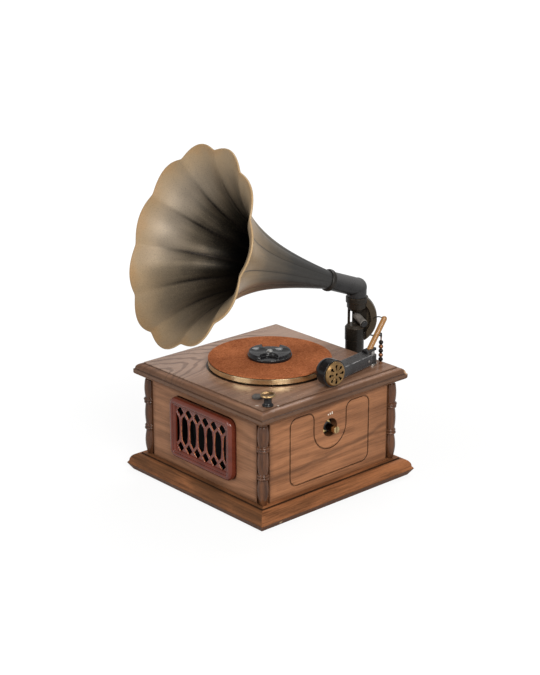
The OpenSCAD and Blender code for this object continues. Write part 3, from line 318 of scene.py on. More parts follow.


# %% [markdown]
# ### Boards
# The right panel is the warmest, with a dark streak that climbs towards the back.
# Painted shade darkens its edges, its back part and the hole of the volume shaft.
# The front panel is greyer, with painted shade along its edges, and black inside its recess,
# so nothing shows behind the grille.
# The lid is a greyer board with an arch of grain left of the turntable. A painted sheen makes the left of its top
# paler;
# painted shade darkens its right front, the steps of its darker moulded edge, the part below them
# and a ring round the turntable.
# The plinth's front is darkened in blotches by painted shade, and so are its foot and the step below the panels.
# Two plain white ticks stand beside the selector and three growing strokes over the volume shaft.

# %% Walnut boards
volume_z, bore_r = 0.0645, 0.0083
stroke_gap, stroke_foot, stroke_top = 0.0022, 0.0757, 0.0777
grille_x, grille_z = 0.002, 0.054
arch_x = -0.052
selector_x, selector_y = 0.071, -0.066
tick_along, tick_across = 0.669, 0.743
lid_steps, lid_under = (0.0941, 0.0993), 0.0915
# Radii of the black ring of painted shadow round the turntable's rim.
rim_shadow_in, rim_shadow_out = 0.0440, 0.0550
plinth_step = 0.0798
lid_chip, plinth_chip = (0.0835, 0.0835, 0.0965), (0.0885, -0.0660, 0.0015)


def chip(place, size, x, y, z):
    """1 inside a small ball round a place where the varnish is knocked off."""
    return away_from(place, x, y, z).rise(size, size * 0.6)


def panel_edge_shade(across, z):
    """Painted shade at a panel's edges: by the posts at both sides, over the plinth and under the cove."""
    return abs(across).rise(0.062, 0.071).most(z.rise(0.021, 0.016)).most(z.rise(0.081, 0.088))


def right_board(web, colour, x, y, z):
    """A dark streak as a soft line that rises with y, painted shade by the posts, towards the back and in the hole
    of the shaft, and three growing strokes.
    """
    drift = grainy(web, joined(web, X=y, Y=z), (30.0, 30.0, 1.0), 2.0)
    line = z - (0.0405 + y * 0.10 + y * y * 0.6 + (drift - 0.5) * 0.010)
    streak = 1 - (abs(line) / 0.0032).rise(0.0, 1.0)
    colour = (streak * 0.50).mix(colour, (0.085, 0.040, 0.022))
    # Painted shade along the panel's edges and towards its back.
    edge_and_back_shade = panel_edge_shade(y, z).most(y.rise(0.0, 0.075) * 0.45)
    colour = (edge_and_back_shade * 0.50).mix(colour, (0.05, 0.022, 0.012))
    # Painted shade on the wall of the hole for the volume shaft.
    bore_shade = away_from((0.0, volume_z), y, z).rise(bore_r, bore_r - 0.0003) * x.rise(0.0750, 0.0744)
    colour = (bore_shade * 0.60).mix(colour, (0.030, 0.014, 0.008))
    step = web.math("ROUND", y / stroke_gap).most(-1.0).least(1.0)
    stroke = abs(y - step * stroke_gap).rise(0.0006, 0.0004) * z.rise(stroke_foot, stroke_foot + 0.0002)
    stroke = stroke * (z - step * 0.0006).rise(stroke_top, stroke_top - 0.0002) * x.rise(0.0746, 0.0748)
    return (stroke * 0.9).mix(colour, (0.80, 0.76, 0.68))


def front_board(web, colour, x, y, z):
    """Black paint inside the recess behind the grille, and painted shade along the edges."""
    # Painted shade along the panel's edges.
    colour = (panel_edge_shade(x, z) * 0.5).mix(colour, (0.045, 0.022, 0.013))
    inside = abs(x - grille_x).rise(0.0405, 0.0402) * abs(z - grille_z).rise(0.0275, 0.0272) * y.rise(-0.0746, -0.0743)
    return inside.mix(colour, (0.004, 0.003, 0.003))


def lid_top(web, colour, x, y, z):
    """Arches of grain as a parabola across the board, a painted sheen on the left of the top, painted shade towards its
    right front, a darker moulded edge with painted shade in its steps and below them, a black ring of painted shadow
    round the turntable's rim, a chipped corner and two ticks."""
    from_arch = x - arch_x
    bend = from_arch * from_arch * 950.0 + y * 14.0
    wobble = grainy(web, joined(web, X=x, Y=y), (55.0, 16.0, 1.0), 2.0)
    arch = web.math("SINE", bend * 24.0 + wobble * 16.0) * 0.5 + 0.5
    zone = abs(from_arch).rise(0.040, 0.022) * abs(y + 0.020).rise(0.085, 0.055)
    top = z.rise(*lid_edge)
    # Painted sheen: the left of the top is paler, where the lid shines.
    colour = (x.rise(0.015, -0.045) * top * 0.58).mix(colour, (0.50, 0.355, 0.280))
    # Painted shade towards the right front of the top.
    colour = ((x - y).rise(0.05, 0.15) * top * 0.35).mix(colour, (0.105, 0.055, 0.030))
    colour = (arch.rise(0.55, 0.95) * zone * 0.50).mix(colour, (0.095, 0.052, 0.034))
    colour = (z.rise(0.0985, 0.0970) * 0.66).mix(colour, (0.060, 0.028, 0.014))
    # Painted shade in the steps of the moulded edge and below them.
    step = abs(z - lid_steps[0]).rise(0.0006, 0.0003).most(abs(z - lid_steps[1]).rise(0.0005, 0.0002))
    colour = (step.most(z.rise(lid_under, lid_under - 0.0004)) * 0.55).mix(colour, (0.024, 0.011, 0.006))
    # A black ring round and under the platter's rim: painted shadow.
    radius = away_from((0.0, 0.0), x, y)
    well = radius.rise(rim_shadow_out, rim_shadow_out - 0.0008) * radius.rise(rim_shadow_in, rim_shadow_in + 0.0020) * top
    colour = (well * 0.92).mix(colour, (0.006, 0.004, 0.003))
    colour = chip(lid_chip, 0.0042, x, y, z).mix(colour, (0.55, 0.36, 0.22))
    dx, dy = x - selector_x, y - selector_y
    out, wide = abs(dx * tick_along + dy * tick_across), abs(dy * tick_along - dx * tick_across)
    tick = out.rise(0.0074, 0.0076) * out.rise(0.0100, 0.0098) * wide.rise(0.0006, 0.0004) * z.rise(0.0994, 0.0997)
    return (tick * 0.8).mix(colour, (0.75, 0.71, 0.64))


def plinth_edge(web, colour, x, y, z):
    """A front darkened in blotches by painted shade, painted shade at the foot and in the step below the panels,
    and a pale chip on the lower right edge.
    """
    # Painted shade on the front face, broken into blotches by a cloud.
    front = (abs(y) - abs(x)).rise(-0.0005, 0.0005) * y.rise(0.0, -0.01)
    cloud = grainy(web, spot_of(web), (16.0, 16.0, 60.0), 3.0)
    colour = (front * cloud.rise(0.30, 0.62) * 0.60).mix(colour, (0.050, 0.026, 0.013))
    # Painted shade on the low face at the foot and in the step below the panels.
    colour = (z.rise(0.0068, 0.0050) * 0.80).mix(colour, (0.070, 0.024, 0.008))
    step = abs(abs(x).most(abs(y)) - plinth_step).rise(0.0008, 0.0003) * z.rise(0.0142, 0.0147)
    colour = (step * 0.80).mix(colour, (0.014, 0.007, 0.004))
    return chip(plinth_chip, 0.0030, x, y, z).mix(colour, (0.62, 0.44, 0.28))


wood = {
    "right_panel": walnut("walnut_right", "y", (0.415, 0.186, 0.087), (0.165, 0.069, 0.032), extras=right_board),
    "front_panel": walnut(
        "walnut_front", "x", (0.335, 0.165, 0.088), (0.145, 0.068, 0.036), 0.42, shift=0.3, extras=front_board),
    "back_panel": walnut("walnut_back", "x", (0.300, 0.135, 0.068), (0.140, 0.060, 0.031), 0.44, shift=0.7),
    "left_panel": walnut("walnut_left", "y", (0.320, 0.140, 0.068), (0.150, 0.062, 0.030), 0.42, shift=1.1),
    "lid_board": walnut(
        "walnut_lid", "lid", (0.300, 0.170, 0.108), (0.150, 0.076, 0.046), 0.27, shift=0.2, extras=lid_top, shine=0.20),
    "lid_apron": walnut("walnut_cove", "mitred", (0.190, 0.088, 0.043), (0.065, 0.028, 0.014), shine=0.05),
    "plinth": walnut(
        "walnut_plinth", "mitred", (0.345, 0.138, 0.058), (0.080, 0.033, 0.015), extras=plinth_edge, shine=0.05),
    "bottom_board": walnut("walnut_under", "x", (0.260, 0.150, 0.090), (0.150, 0.080, 0.048), 0.6),
    "corner_blocks": walnut("walnut_blocks", "z", (0.190, 0.084, 0.041), (0.085, 0.036, 0.018), 0.5, hollow_shade=0.5),
}
turned = walnut("walnut_turned", "z", (0.128, 0.051, 0.022), (0.026, 0.010, 0.005), 0.15, shine=0.36, hollow_shade=0.35)
for corner in ("front_left", "front_right", "back_right", "back_left"):
    wood[corner + "_post"] = turned
print(len(wood), "wooden pieces")

# %% [markdown]
# ## Metals, plastics, felt
# Each of these is one colour on the real object, broken by handling: thin scratches and dull patches.
# Some are painted lighter where they face up (painted top light); pale edges are part wear, part painted highlight.
# A shared function mixes two close colours by a cloudy noise and varies the gloss with another.
# A Bevel node rounds the shading at sharp edges, because no real edge is perfectly sharp and edges catch the light.

# %% Plain finishes
def handled(name, first, second, rough, metal=0.0, scale=60.0, spread=0.12, shine=0.5, depth=0.00004, extras=None,
            soft=0.0005, worn_and_lit_colour=None, painted_top_light=None):
    """Two close colours in clouds, gloss in finer clouds, edges rounded by soft metres and turned to a third colour
    in patches, part wear and part painted highlight, a painted top light on what faces up, and a fine bump."""
    material, web = new_finish(name)
    spot = spot_of(web)
    cloud = grainy(web, spot, scale, 4.0, 0.6)
    fine = grainy(web, spot, 900.0, 2.0)
    colour = cloud.rise(0.32, 0.68).mix(first, second)
    if extras:
        colour = extras(web, colour, *parts_of(web, spot))
    bevel = rounded(web, soft) if soft else None
    # Painted top light: what faces up is lighter.
    if painted_top_light:
        upward, = parts_of(web, web.node("NewGeometry", out="Normal"), "Z")
        colour = (upward.rise(-0.25, 0.95) * 0.9).mix(colour, painted_top_light)
    # Pale edges in patches: part wear, part painted highlight.
    if worn_and_lit_colour:
        worn_and_lit_edge = (sharpness(web, bevel) * 7.0).least(1.0) * grainy(web, spot, 220.0, 3.0).rise(0.35, 0.60)
        colour = worn_and_lit_edge.mix(colour, worn_and_lit_colour)
    return settle(
        material, Base_Color=colour, Roughness=rough + (cloud - 0.5) * spread + (fine - 0.5) * spread, Metallic=metal,
        Specular_IOR_Level=shine, Normal=bumped(web, fine, depth, 0.6, bevel))


# %% Painted shade, tarnish and wear that know their place
cap_box = np.array(nodes["sound_box_cap"].bound_box)
cap_face, cap_mid = float(cap_box.min(0)[0]), cap_box.mean(0)
rim_top = float(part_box("platter_rim")[1][2])
dish_low, dish_high = (np.array(c, float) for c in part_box("selector_cap"))
dish_mid, dish_top = (dish_low + dish_high) / 2, float(dish_high[2])
shaft_end = float(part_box("volume_shaft")[1][0])
lid_level, bead_step = 0.1, 0.00383
post_x, post_y, rib_from = 0.00106, 0.10306, 0.0084
half_root = float(np.sqrt(0.5))


def shaded_slots(web, colour, x, y, z):
    """Painted shade in the pierced slots: dark where a spot lies under the cap's face and within the ring of slots."""
    under = x.rise(cap_face + 0.0022, cap_face + 0.0018)
    return (under * away_from(cap_mid[1:], y, z).rise(0.0091, 0.0087)).mix(colour, (0.006, 0.004, 0.003))


def beads_in_turn(web, colour, x, y, z):
    """Copper and blackened beads by turns: a cosine of the height changes sign from one bead to the next."""
    turns = web.math("COSINE", (z - lid_level) * (np.pi / bead_step))
    return turns.rise(-0.3, 0.3).mix((0.012, 0.010, 0.009), colour)


def shadow_under_mat(web, colour, x, y, z):
    """Painted shadow in the last half millimetre under the mat's edge."""
    return (z.rise(rim_top - 0.0009, rim_top - 0.0004) * 0.9).mix(colour, (0.020, 0.013, 0.008))


def dark_dish(web, colour, x, y, z):
    """Tarnish in the hollow of the selector's cap: dark where a spot is near the axis and near the top."""
    hollow = away_from(dish_mid[:2], x, y).rise(0.0052, 0.0044) * z.rise(dish_top - 0.0030, dish_top - 0.0020)
    return (hollow * 0.75).mix(colour, (0.130, 0.065, 0.028))


def shaded_root(web, colour, x, y, z):
    """Painted shade on the volume shaft, deep in its hole: only its last few millimetres keep the brass colour."""
    return (x.rise(shaft_end - 0.0030, shaft_end - 0.0042) * 0.92).mix(colour, (0.030, 0.019, 0.010))


def olive_rib(web, colour, x, y, z):
    """The bracket's rib has lost its black: olive brown beyond a distance from the post's axis, along the rib."""
    out = ((x - post_x) + (y - post_y)) * half_root
    return (out.rise(rib_from, rib_from + 0.0012) * 0.8).mix(colour, (0.075, 0.058, 0.038))


# %% Metals
brass = handled(
    "aged_brass", (0.56, 0.415, 0.215), (0.40, 0.285, 0.135), 0.24, metal=1.0, scale=120.0, spread=0.08, depth=0.00001)
cap_brass = handled(
    "cap_brass", (0.36, 0.220, 0.095), (0.22, 0.130, 0.055), 0.30, metal=1.0, scale=160.0, spread=0.14,
    extras=shaded_slots)
rim_brass = handled(
    "rim_brass", (0.90, 0.710, 0.440), (0.74, 0.565, 0.320), 0.22, metal=1.0, scale=90.0, spread=0.06, depth=0.0,
    extras=shadow_under_mat, soft=0.0)
dish_brass = handled(
    "dish_brass", (0.50, 0.340, 0.165), (0.32, 0.205, 0.090), 0.30, metal=1.0, scale=160.0, spread=0.10,
    extras=dark_dish)
# A brighter, half matt copy of brass: light painted on the nut, which sits in the shade of its hole.
brightened_nut_brass = handled(
    "brightened_nut_brass", (0.90, 0.660, 0.300), (0.66, 0.470, 0.200), 0.34, metal=0.5, scale=200.0, spread=0.10)
shaft_brass = handled(
    "shaft_brass", (0.56, 0.415, 0.215), (0.40, 0.285, 0.135), 0.28, metal=1.0, scale=200.0, spread=0.10,
    extras=shaded_root)
copper = handled(
    "dark_copper", (0.26, 0.115, 0.055), (0.15, 0.065, 0.032), 0.34, metal=0.8, scale=420.0, spread=0.2,
    extras=beads_in_turn, soft=0.0)
steel = handled("dull_steel", (0.52, 0.52, 0.50), (0.38, 0.38, 0.37), 0.38, metal=1.0, scale=90.0)
# A paler copy of steel that offsets the shade the stub tube sits in; its pale edges are part wear, part painted
# highlight.
brightened_stub_metal = handled(
    "brightened_stub_metal", (0.300, 0.280, 0.258), (0.150, 0.138, 0.126), 0.34, metal=0.2, scale=160.0,
    worn_and_lit_colour=(0.60, 0.57, 0.53), soft=0.0010)
print("metals made")

# %% Paints, plastics and rubber
# Painted top light: slate, the arm's paint and the black paint turn lighter where they face up.
slate = handled(
    "slate_paint", (0.016, 0.016, 0.017), (0.024, 0.024, 0.025), 0.28, scale=70.0, shine=0.26,
    painted_top_light=(0.088, 0.087, 0.088))
# The arm's pale edges are a painted highlight along them.
arm_paint = handled(
    "arm_paint", (0.040, 0.041, 0.044), (0.026, 0.026, 0.028), 0.28, scale=70.0, shine=0.24,
    worn_and_lit_colour=(0.42, 0.42, 0.43), soft=0.0012, painted_top_light=(0.062, 0.060, 0.060))
black_gloss = handled(
    "black_gloss", (0.005, 0.005, 0.006), (0.009, 0.009, 0.010), 0.18, scale=80.0, spread=0.10, shine=0.30,
    worn_and_lit_colour=(0.090, 0.085, 0.080), soft=0.0007)
adapter_gloss = handled(
    "adapter_gloss", (0.007, 0.007, 0.008), (0.012, 0.012, 0.013), 0.16, scale=80.0, spread=0.06, shine=0.36,
    worn_and_lit_colour=(0.120, 0.118, 0.115), soft=0.0007)
black_paint = handled(
    "black_paint", (0.007, 0.006, 0.005), (0.018, 0.014, 0.010), 0.28, scale=55.0, spread=0.16, shine=0.24,
    worn_and_lit_colour=(0.11, 0.075, 0.048), soft=0.0010, extras=olive_rib, painted_top_light=(0.040, 0.033, 0.026))
black_wire = handled(
    "black_wire", (0.010, 0.009, 0.008), (0.018, 0.015, 0.012), 0.45, scale=200.0, shine=0.3, soft=0.0)
soot = handled(
    "soot_black", (0.003, 0.003, 0.003), (0.006, 0.006, 0.006), 0.90, scale=90.0, spread=0.08, shine=0.10)
rubber = handled("rubber", (0.020, 0.020, 0.020), (0.035, 0.034, 0.033), 0.72, scale=90.0, shine=0.3)
pad_grey = handled("pad_grey", (0.10, 0.092, 0.085), (0.06, 0.056, 0.052), 0.5, scale=200.0, shine=0.3)
board_green = handled("board_green", (0.05, 0.11, 0.035), (0.09, 0.13, 0.05), 0.5, scale=300.0)
print("paints, plastics and rubber made")

# %% [markdown]
# ### Felt and amber
# The mat is pressed felt: short fibres lie every way, so the colour is speckled and the surface never shines.
# The peg is varnished wood with its grain along its length.

# %% Felt mat and peg
material, web = new_finish("rust_felt")
spot = spot_of(web)
fuzz = grainy(web, spot, 900.0, 4.0, 0.75)
fibres = grainy(web, spot, (700.0, 245.0, 700.0), 3.0, 0.6, 1.5)
cloud = grainy(web, spot, 28.0, 3.0)
shade = fuzz * 0.80 + fibres * 0.50 + cloud * 0.35 - 0.32
lint = grainy(web, spot, 700.0, 1.0).rise(0.77, 0.80)
tint = shade.rise(0.3, 0.75).mix((0.195, 0.055, 0.020), (0.500, 0.172, 0.070))
felt = settle(
    material, Base_Color=(lint * 0.5).mix(tint, (0.45, 0.28, 0.18)), Roughness=0.95, Specular_IOR_Level=0.05,
    Normal=bumped(web, fuzz + fibres, 0.00045, 0.8))

material, web = new_finish("amber_varnish")
vein = grainy(web, spot_of(web), (900.0, 130.0, 70.0), 3.0)
tint = vein.rise(0.3, 0.7).mix((0.215, 0.098, 0.025), (0.320, 0.155, 0.044))
amber = settle(
    material, Base_Color=tint, Roughness=0.40 + vein * 0.1, Specular_IOR_Level=0.35, Coat_Weight=0.25,
    Normal=bumped(web, vein, 0.00008, 0.5))
print("felt and amber made")

# %% [markdown]
# ## The horn
# The horn is one sheet of petals. Its radius grows slowly from the small end and fast at the lip,
# and between two petals it dips to a crease, so the rim becomes a row of round lobes.
# The same law drew the solid; here it is sampled much finer, with a rounded lip that joins the two sides.
# The crease is pressed sharp in the neck and opens out softly towards the lip, so its bottom is rounded along the way.
# Rows crowd towards the lip, where the bend is strongest, and end a little short, so the rounding stays in the solid.

# %% Horn surface
small_end, mouth, length, wall, straight = 0.0084, 0.087, 0.150, 0.0016, 0.003
petals, phase = 11, np.radians(28.6)
growth, even_part, late_part, lip_part = 1.1, 0.485, 0.441, 0.074
neck_crease, lip_crease = 0.0016, 0.0044
nudge, lip_round = 0.005, 0.6
rise_angle, turn_angle = np.radians(20.6), np.radians(-8.3)
collar_top, elbow_up, tube_end = 0.1394, 0.00855, 0.0336
elbow = np.array([0.00106066, 0.10306066, collar_top + elbow_up])


def flare(u):
    """Radius at share u of the length: an exponential, a fourth power and a sharp lip term, weighted together."""
    even = (np.exp(growth * u) - 1) / (np.exp(growth) - 1)
    return small_end + (mouth - small_end) * (even_part * even + late_part * u ** 4 + lip_part * u ** 12)


def lean_at(u):
    """Angle between the wall and the axis at share u, from the radius a little before and a little after."""
    return np.arctan((flare(u + nudge) - flare(u - nudge)) / (2 * nudge) / (length - straight))


def crease(angle, soft=0.0):
    """1 on the line between two petals, 0 in the middle of a petal; soft rounds the line's bottom."""
    wave = np.sin(petals * (angle - phase) / 2)
    return 1 - np.sqrt((wave ** 2 + soft ** 2) / (1 + soft ** 2))


def horn_shell(u, angle, inset):
    """Points at share u and angle, moved inward by inset square to the wall, in the horn's own frame."""
    lean = np.where(u <= 0, 0.0, lean_at(u))
    dip = crease(angle, 0.03 + 0.07 * u ** 3) * (neck_crease * u + lip_crease * u ** 5)
    radius = flare(u) - dip - inset * np.cos(lean)
    depth = straight + (length - straight) * u + inset * np.sin(lean)
    return np.stack(np.broadcast_arrays(radius * np.cos(angle), radius * np.sin(angle), depth), -1)


steps, rings = 22, 76
last, crowding = 0.9984, 1.3
share = last * (1 - (1 - np.linspace(0, 1, rings)) ** crowding)
angles = phase + 2 * np.pi * np.arange(petals * steps) / (petals * steps)
lip = np.linspace(0, np.pi, 7)[1:-1]
rows_u = np.concatenate([[0.0], share, np.full(len(lip), last), share[::-1], [0.0]])
rows_t = np.concatenate([np.zeros(rings + 1), wall * (1 - np.cos(lip)) / 2, np.full(rings + 1, wall)])
shell = horn_shell(rows_u[:, None], angles[None, :], rows_t[:, None])
shell[[0, -1], :, 2] = 0.0
swell = np.concatenate([np.zeros(rings + 1), 0.5 * wall * np.sin(lip), np.zeros(rings + 1)])[:, None] * lip_round
shell[..., 2] += swell * np.cos(lean_at(1.0))
radial = shell[..., :2] / np.linalg.norm(shell[..., :2], axis=-1, keepdims=True)
shell[..., :2] += radial * (swell * np.sin(lean_at(1.0)))[..., None]
tip, spin = np.pi / 2 - rise_angle, turn_angle
about_x = np.array([[1, 0, 0], [0, np.cos(tip), -np.sin(tip)], [0, np.sin(tip), np.cos(tip)]])
about_z = np.array([[np.cos(spin), -np.sin(spin), 0], [np.sin(spin), np.cos(spin), 0], [0, 0, 1]])
to_world = about_z @ about_x
horn_points = (shell + [0, 0, tube_end]) @ to_world.T + elbow
print("mouth reaches", horn_points.reshape(-1, 3).max(0))

# %% [markdown]
# The paint was sprayed tan, with dark lines left in the creases; inside, painted shade sinks it to black in the throat.
# Outside it goes from olive bronze at the mouth to charcoal at the small end.
# The finish reads where it is along the horn and how near a crease from the piece's own map, so it follows every petal.

# %% Horn finishes
def sprayed(name, stops, crease_colour, crease_depth, lit_from, rough, shine, metal, line_from=0.70, broad=0.6,
            low_shade=0.0, painted_sheen=0.0):
    """A band of colours along the horn, darker in the creases up to where they fade out, streaked from the throat
    outwards, painted shade on the low side, a grey painted sheen on the left, a fine speckle. The lip is not metallic."""
    material, web = new_finish(name)
    along, seam = parts_of(web, web.node("UVMap", {"uv_map": "along_and_crease"}), "XY")
    round_about = web.node("UVMap", {"uv_map": "round_about"})
    turned_left, turned_up = parts_of(web, round_about, "XY")
    spoke = web.node("VectorMath", {"operation": "ADD"}, {0: round_about, 1: joined(web, Z=along * 0.25)})
    streaks = grainy(web, spoke, 9.0, 3.0, 0.6)
    spot = spot_of(web)
    speck = grainy(web, spot, 1500.0, 2.0, 0.6)
    cloud = grainy(web, spot, 40.0, 3.0)
    colour = (along + (cloud - 0.5) * 0.10 + (streaks - 0.5) * 0.16 * along.rise(1.0, 0.75)).band(*stops)
    # Painted shade on the low side of the inside.
    colour = (turned_up.rise(-0.35, -0.95) * low_shade).mix(colour, (0.030, 0.019, 0.011))
    # Painted sheen: a grey patch on the left of the inside, near the mouth.
    patch = turned_left.rise(-0.10, -0.75) * turned_up.rise(-0.55, -0.10)
    patch = patch * along.rise(0.76, 0.88) * along.rise(0.985, 0.92)
    colour = (patch * painted_sheen).mix(colour, (0.40, 0.345, 0.285))
    line = (seam.rise(line_from, 1.0) + seam.rise(0.2, 1.0) * broad) * crease_depth
    colour = (line * along.rise(lit_from, lit_from - 0.25)).mix(colour, crease_colour)
    colour = (speck.rise(0.52, 0.72) * 0.30).mix(colour, (0.012, 0.010, 0.008))
    colour = (speck.rise(0.48, 0.30) * 0.10 * along.rise(0.45, 0.8)).mix(colour, (0.55, 0.43, 0.28))
    return settle(
        material, Base_Color=colour, Roughness=rough + (speck - 0.5) * 0.2, Metallic=along.rise(0.97, 0.88) * metal,
        Specular_IOR_Level=shine, Normal=bumped(web, speck, 0.00006, 0.6))


# Inside, the tan of the rim sinks to black towards the throat: painted shade.
inside_stops = (
    (0.0, (0.001, 0.001, 0.001)), (0.56, (0.002, 0.002, 0.002)), (0.68, (0.018, 0.015, 0.011)),
    (0.79, (0.090, 0.072, 0.051)), (0.89, (0.200, 0.156, 0.106)), (0.97, (0.300, 0.216, 0.128)),
    (1.0, (0.330, 0.210, 0.105)))
outside_stops = (
    (0.0, (0.038, 0.038, 0.038)), (0.35, (0.042, 0.040, 0.037)), (0.58, (0.120, 0.096, 0.068)),
    (0.80, (0.350, 0.250, 0.148)), (1.0, (0.370, 0.255, 0.138)))
inside = sprayed(
    "horn_inside", inside_stops, (0.008, 0.006, 0.005), crease_depth=0.75, lit_from=0.97, rough=0.36, shine=0.15,
    metal=0.60, low_shade=0.35, painted_sheen=0.30)
outside = sprayed(
    "horn_outside", outside_stops, (0.016, 0.014, 0.012), crease_depth=0.80, lit_from=1.05, rough=0.34, shine=0.22,
    metal=0.10, line_from=0.90, broad=0.12)
print("horn finishes made")


# %% Horn piece
def add_map(piece, name, chart):
    """Two numbers for each point of a piece, kept as a UV map: every face corner takes those of its point."""
    corner = np.empty(len(piece.data.loops), int)
    piece.data.loops.foreach_get("vertex_index", corner)
    piece.data.uv_layers.new(name=name).data.foreach_set("uv", chart[corner].ravel())


horn = add_piece(
    "horn_petals", horn_points.reshape(-1, 3), tyre_quads(len(rows_u), len(angles)), [outside, inside], "horn_part",
    ["horn"])
chart = np.stack(np.broadcast_arrays(rows_u[:, None], crease(angles)[None, :]), -1).reshape(-1, 2)
add_map(horn, "along_and_crease", chart)
add_map(horn, "round_about", np.tile(np.stack([np.cos(angles), np.sin(angles)], -1), (len(rows_u), 1)))
is_inside = np.repeat(np.arange(len(rows_u)), len(angles)) > rings + len(lip) // 2 + 1
horn.data.polygons.foreach_set("material_index", is_inside.astype(int))
print("inside faces", int(is_inside.sum()))

# %% [markdown]
# ## The grille
# The grille is one moulding: a stepped frame round a lattice of slim bars that fork into diamonds.
# The lattice is a height over the panel's plane.
# A distance to the nearest opening gives both its outline and its raised edges:
# quads inside an opening are dropped, and the points left on the edge are pulled onto it.

# %% Lattice
pitch_bars, bow, half_lens, point, gem_row = 10.9, 55.0, 4.3, 13.3, 16.05
half_gem = np.array([4.2, 4.7])
field_half = 33.7
centre_x, floor_y, centre_z = 1000 * grille_x, -73.8, 1000 * grille_z
sheet_half, cell, near_by, pulls, least_slope = (34.4, 21.6), 0.26, 0.02, 4, 0.3
lattice_up, edge_w, edge_h, groove_from, groove_w, groove_h = 4.6, 0.55, 0.8, 0.65, 0.6, 0.35


def clear_of_openings(x, z):
    """Distance in millimetres to the nearest opening: ovals of two bows with pointed ends, diamonds above and below."""
    offset = np.abs(x - pitch_bars * np.clip(np.round(x / pitch_bars), -3, 3))
    oval = np.maximum(np.hypot(offset + bow - half_lens, z) - bow, (offset + np.abs(z) - point) / np.sqrt(2))
    oval = np.maximum(oval, np.abs(x) - field_half)
    beside = np.abs(x - pitch_bars * (np.clip(np.round(x / pitch_bars - 0.5), -3, 2) + 0.5))
    gem = beside / half_gem[0] + np.abs(np.abs(z) - gem_row) / half_gem[1] - 1
    return np.minimum(oval, gem * half_gem.prod() / np.hypot(*half_gem))


def uphill(x, z):
    """The way in which that distance grows, from its differences over a small step along each axis."""
    return np.stack([
        clear_of_openings(x + near_by, z) - clear_of_openings(x - near_by, z),
        clear_of_openings(x, z + near_by) - clear_of_openings(x, z - near_by)], -1) / (2 * near_by)


gx, gz = np.meshgrid(*(np.arange(-half, half + 0.01, cell) for half in sheet_half), indexing="ij")
flat = np.stack([gx, gz], -1).reshape(-1, 2)
quads = grid_quads(*gx.shape)
kept = clear_of_openings(*flat[quads].mean(1).T) > 0
use, lost = np.zeros(len(flat), bool), np.zeros(len(flat), bool)
use[quads[kept].ravel()] = True
lost[quads[~kept].ravel()] = True
rim = use & lost
for _ in range(pulls):
    gap, slope = clear_of_openings(*flat[rim].T), uphill(*flat[rim].T)
    flat[rim] -= slope * (gap / np.maximum((slope ** 2).sum(-1), least_slope))[:, None]
gap = np.clip(clear_of_openings(*flat.T), 0, None)
ridge = np.sqrt(1 - (1 - np.clip(gap / edge_w, 0, 1)) ** 2) * edge_h
ridge = ridge - groove_h * np.clip((gap - groove_from) / groove_w, 0, 1)
lattice = np.stack([centre_x + flat[:, 0], floor_y - lattice_up - ridge, centre_z + flat[:, 1]], -1)[use] / 1000
lattice_faces = (np.cumsum(use) - 1)[quads[kept]]
print("lattice keeps", int(kept.sum()), "of", len(quads), "quads")

# %% [markdown]
# The frame is a stepped outline carried round a rectangle with round corners.
# Moving inward by d only shortens the corner radius by d, so every point is a corner's centre plus a turned radius.

# %% Frame round the lattice
frame_half, corner_r = np.array([39.0, 26.0]), 6.0
step_in = np.array([0.0, 0.0, 0.15, 0.5, 1.0, 1.6, 2.4, 2.75, 2.95, 3.2, 4.1, 4.6, 4.9, 5.0, 5.0])
step_up = np.array([0.0, 4.7, 5.4, 6.0, 6.3, 6.4, 6.4, 6.3, 5.95, 5.85, 5.85, 5.7, 5.3, 4.8, 3.9])
sweep = np.linspace(0, np.pi / 2, 10)
theta = np.concatenate([sweep + k * np.pi / 2 for k in range(4)])
side_x = np.repeat([1, -1, -1, 1], len(sweep)) * (frame_half[0] - corner_r)
side_z = np.repeat([1, 1, -1, -1], len(sweep)) * (frame_half[1] - corner_r)
reach = corner_r - step_in[:, None]
frame_points = np.stack(np.broadcast_arrays(
    centre_x + side_x + reach * np.cos(theta), floor_y - step_up[:, None],
    centre_z + side_z + reach * np.sin(theta)), -1) / 1000
frame_faces = grid_quads(len(step_in), len(theta), wrap=True)
print("frame", frame_points.shape)

# %% [markdown]
# The plastic is glossy maroon, turned orange along the thin edges of the openings: part wear, part painted highlight.
# The piece's own map carries the distance to the nearest opening, which the finish turns into that orange line,
# and in its second number says which points belong to the darker frame.
# A Solidify modifier adds the wall on the outer side, so the surface drawn above becomes the back of the moulding.

# %% Grille piece and finish
material, web = new_finish("maroon_plastic")
spot = spot_of(web)
from_edge, on_frame = parts_of(web, web.node("UVMap", {"uv_map": "edge_and_frame"}), "XY")
cloud = grainy(web, spot, 60.0, 4.0, 0.6)
frame_tint = cloud.rise(0.3, 0.7).mix((0.130, 0.026, 0.013), (0.085, 0.016, 0.008))
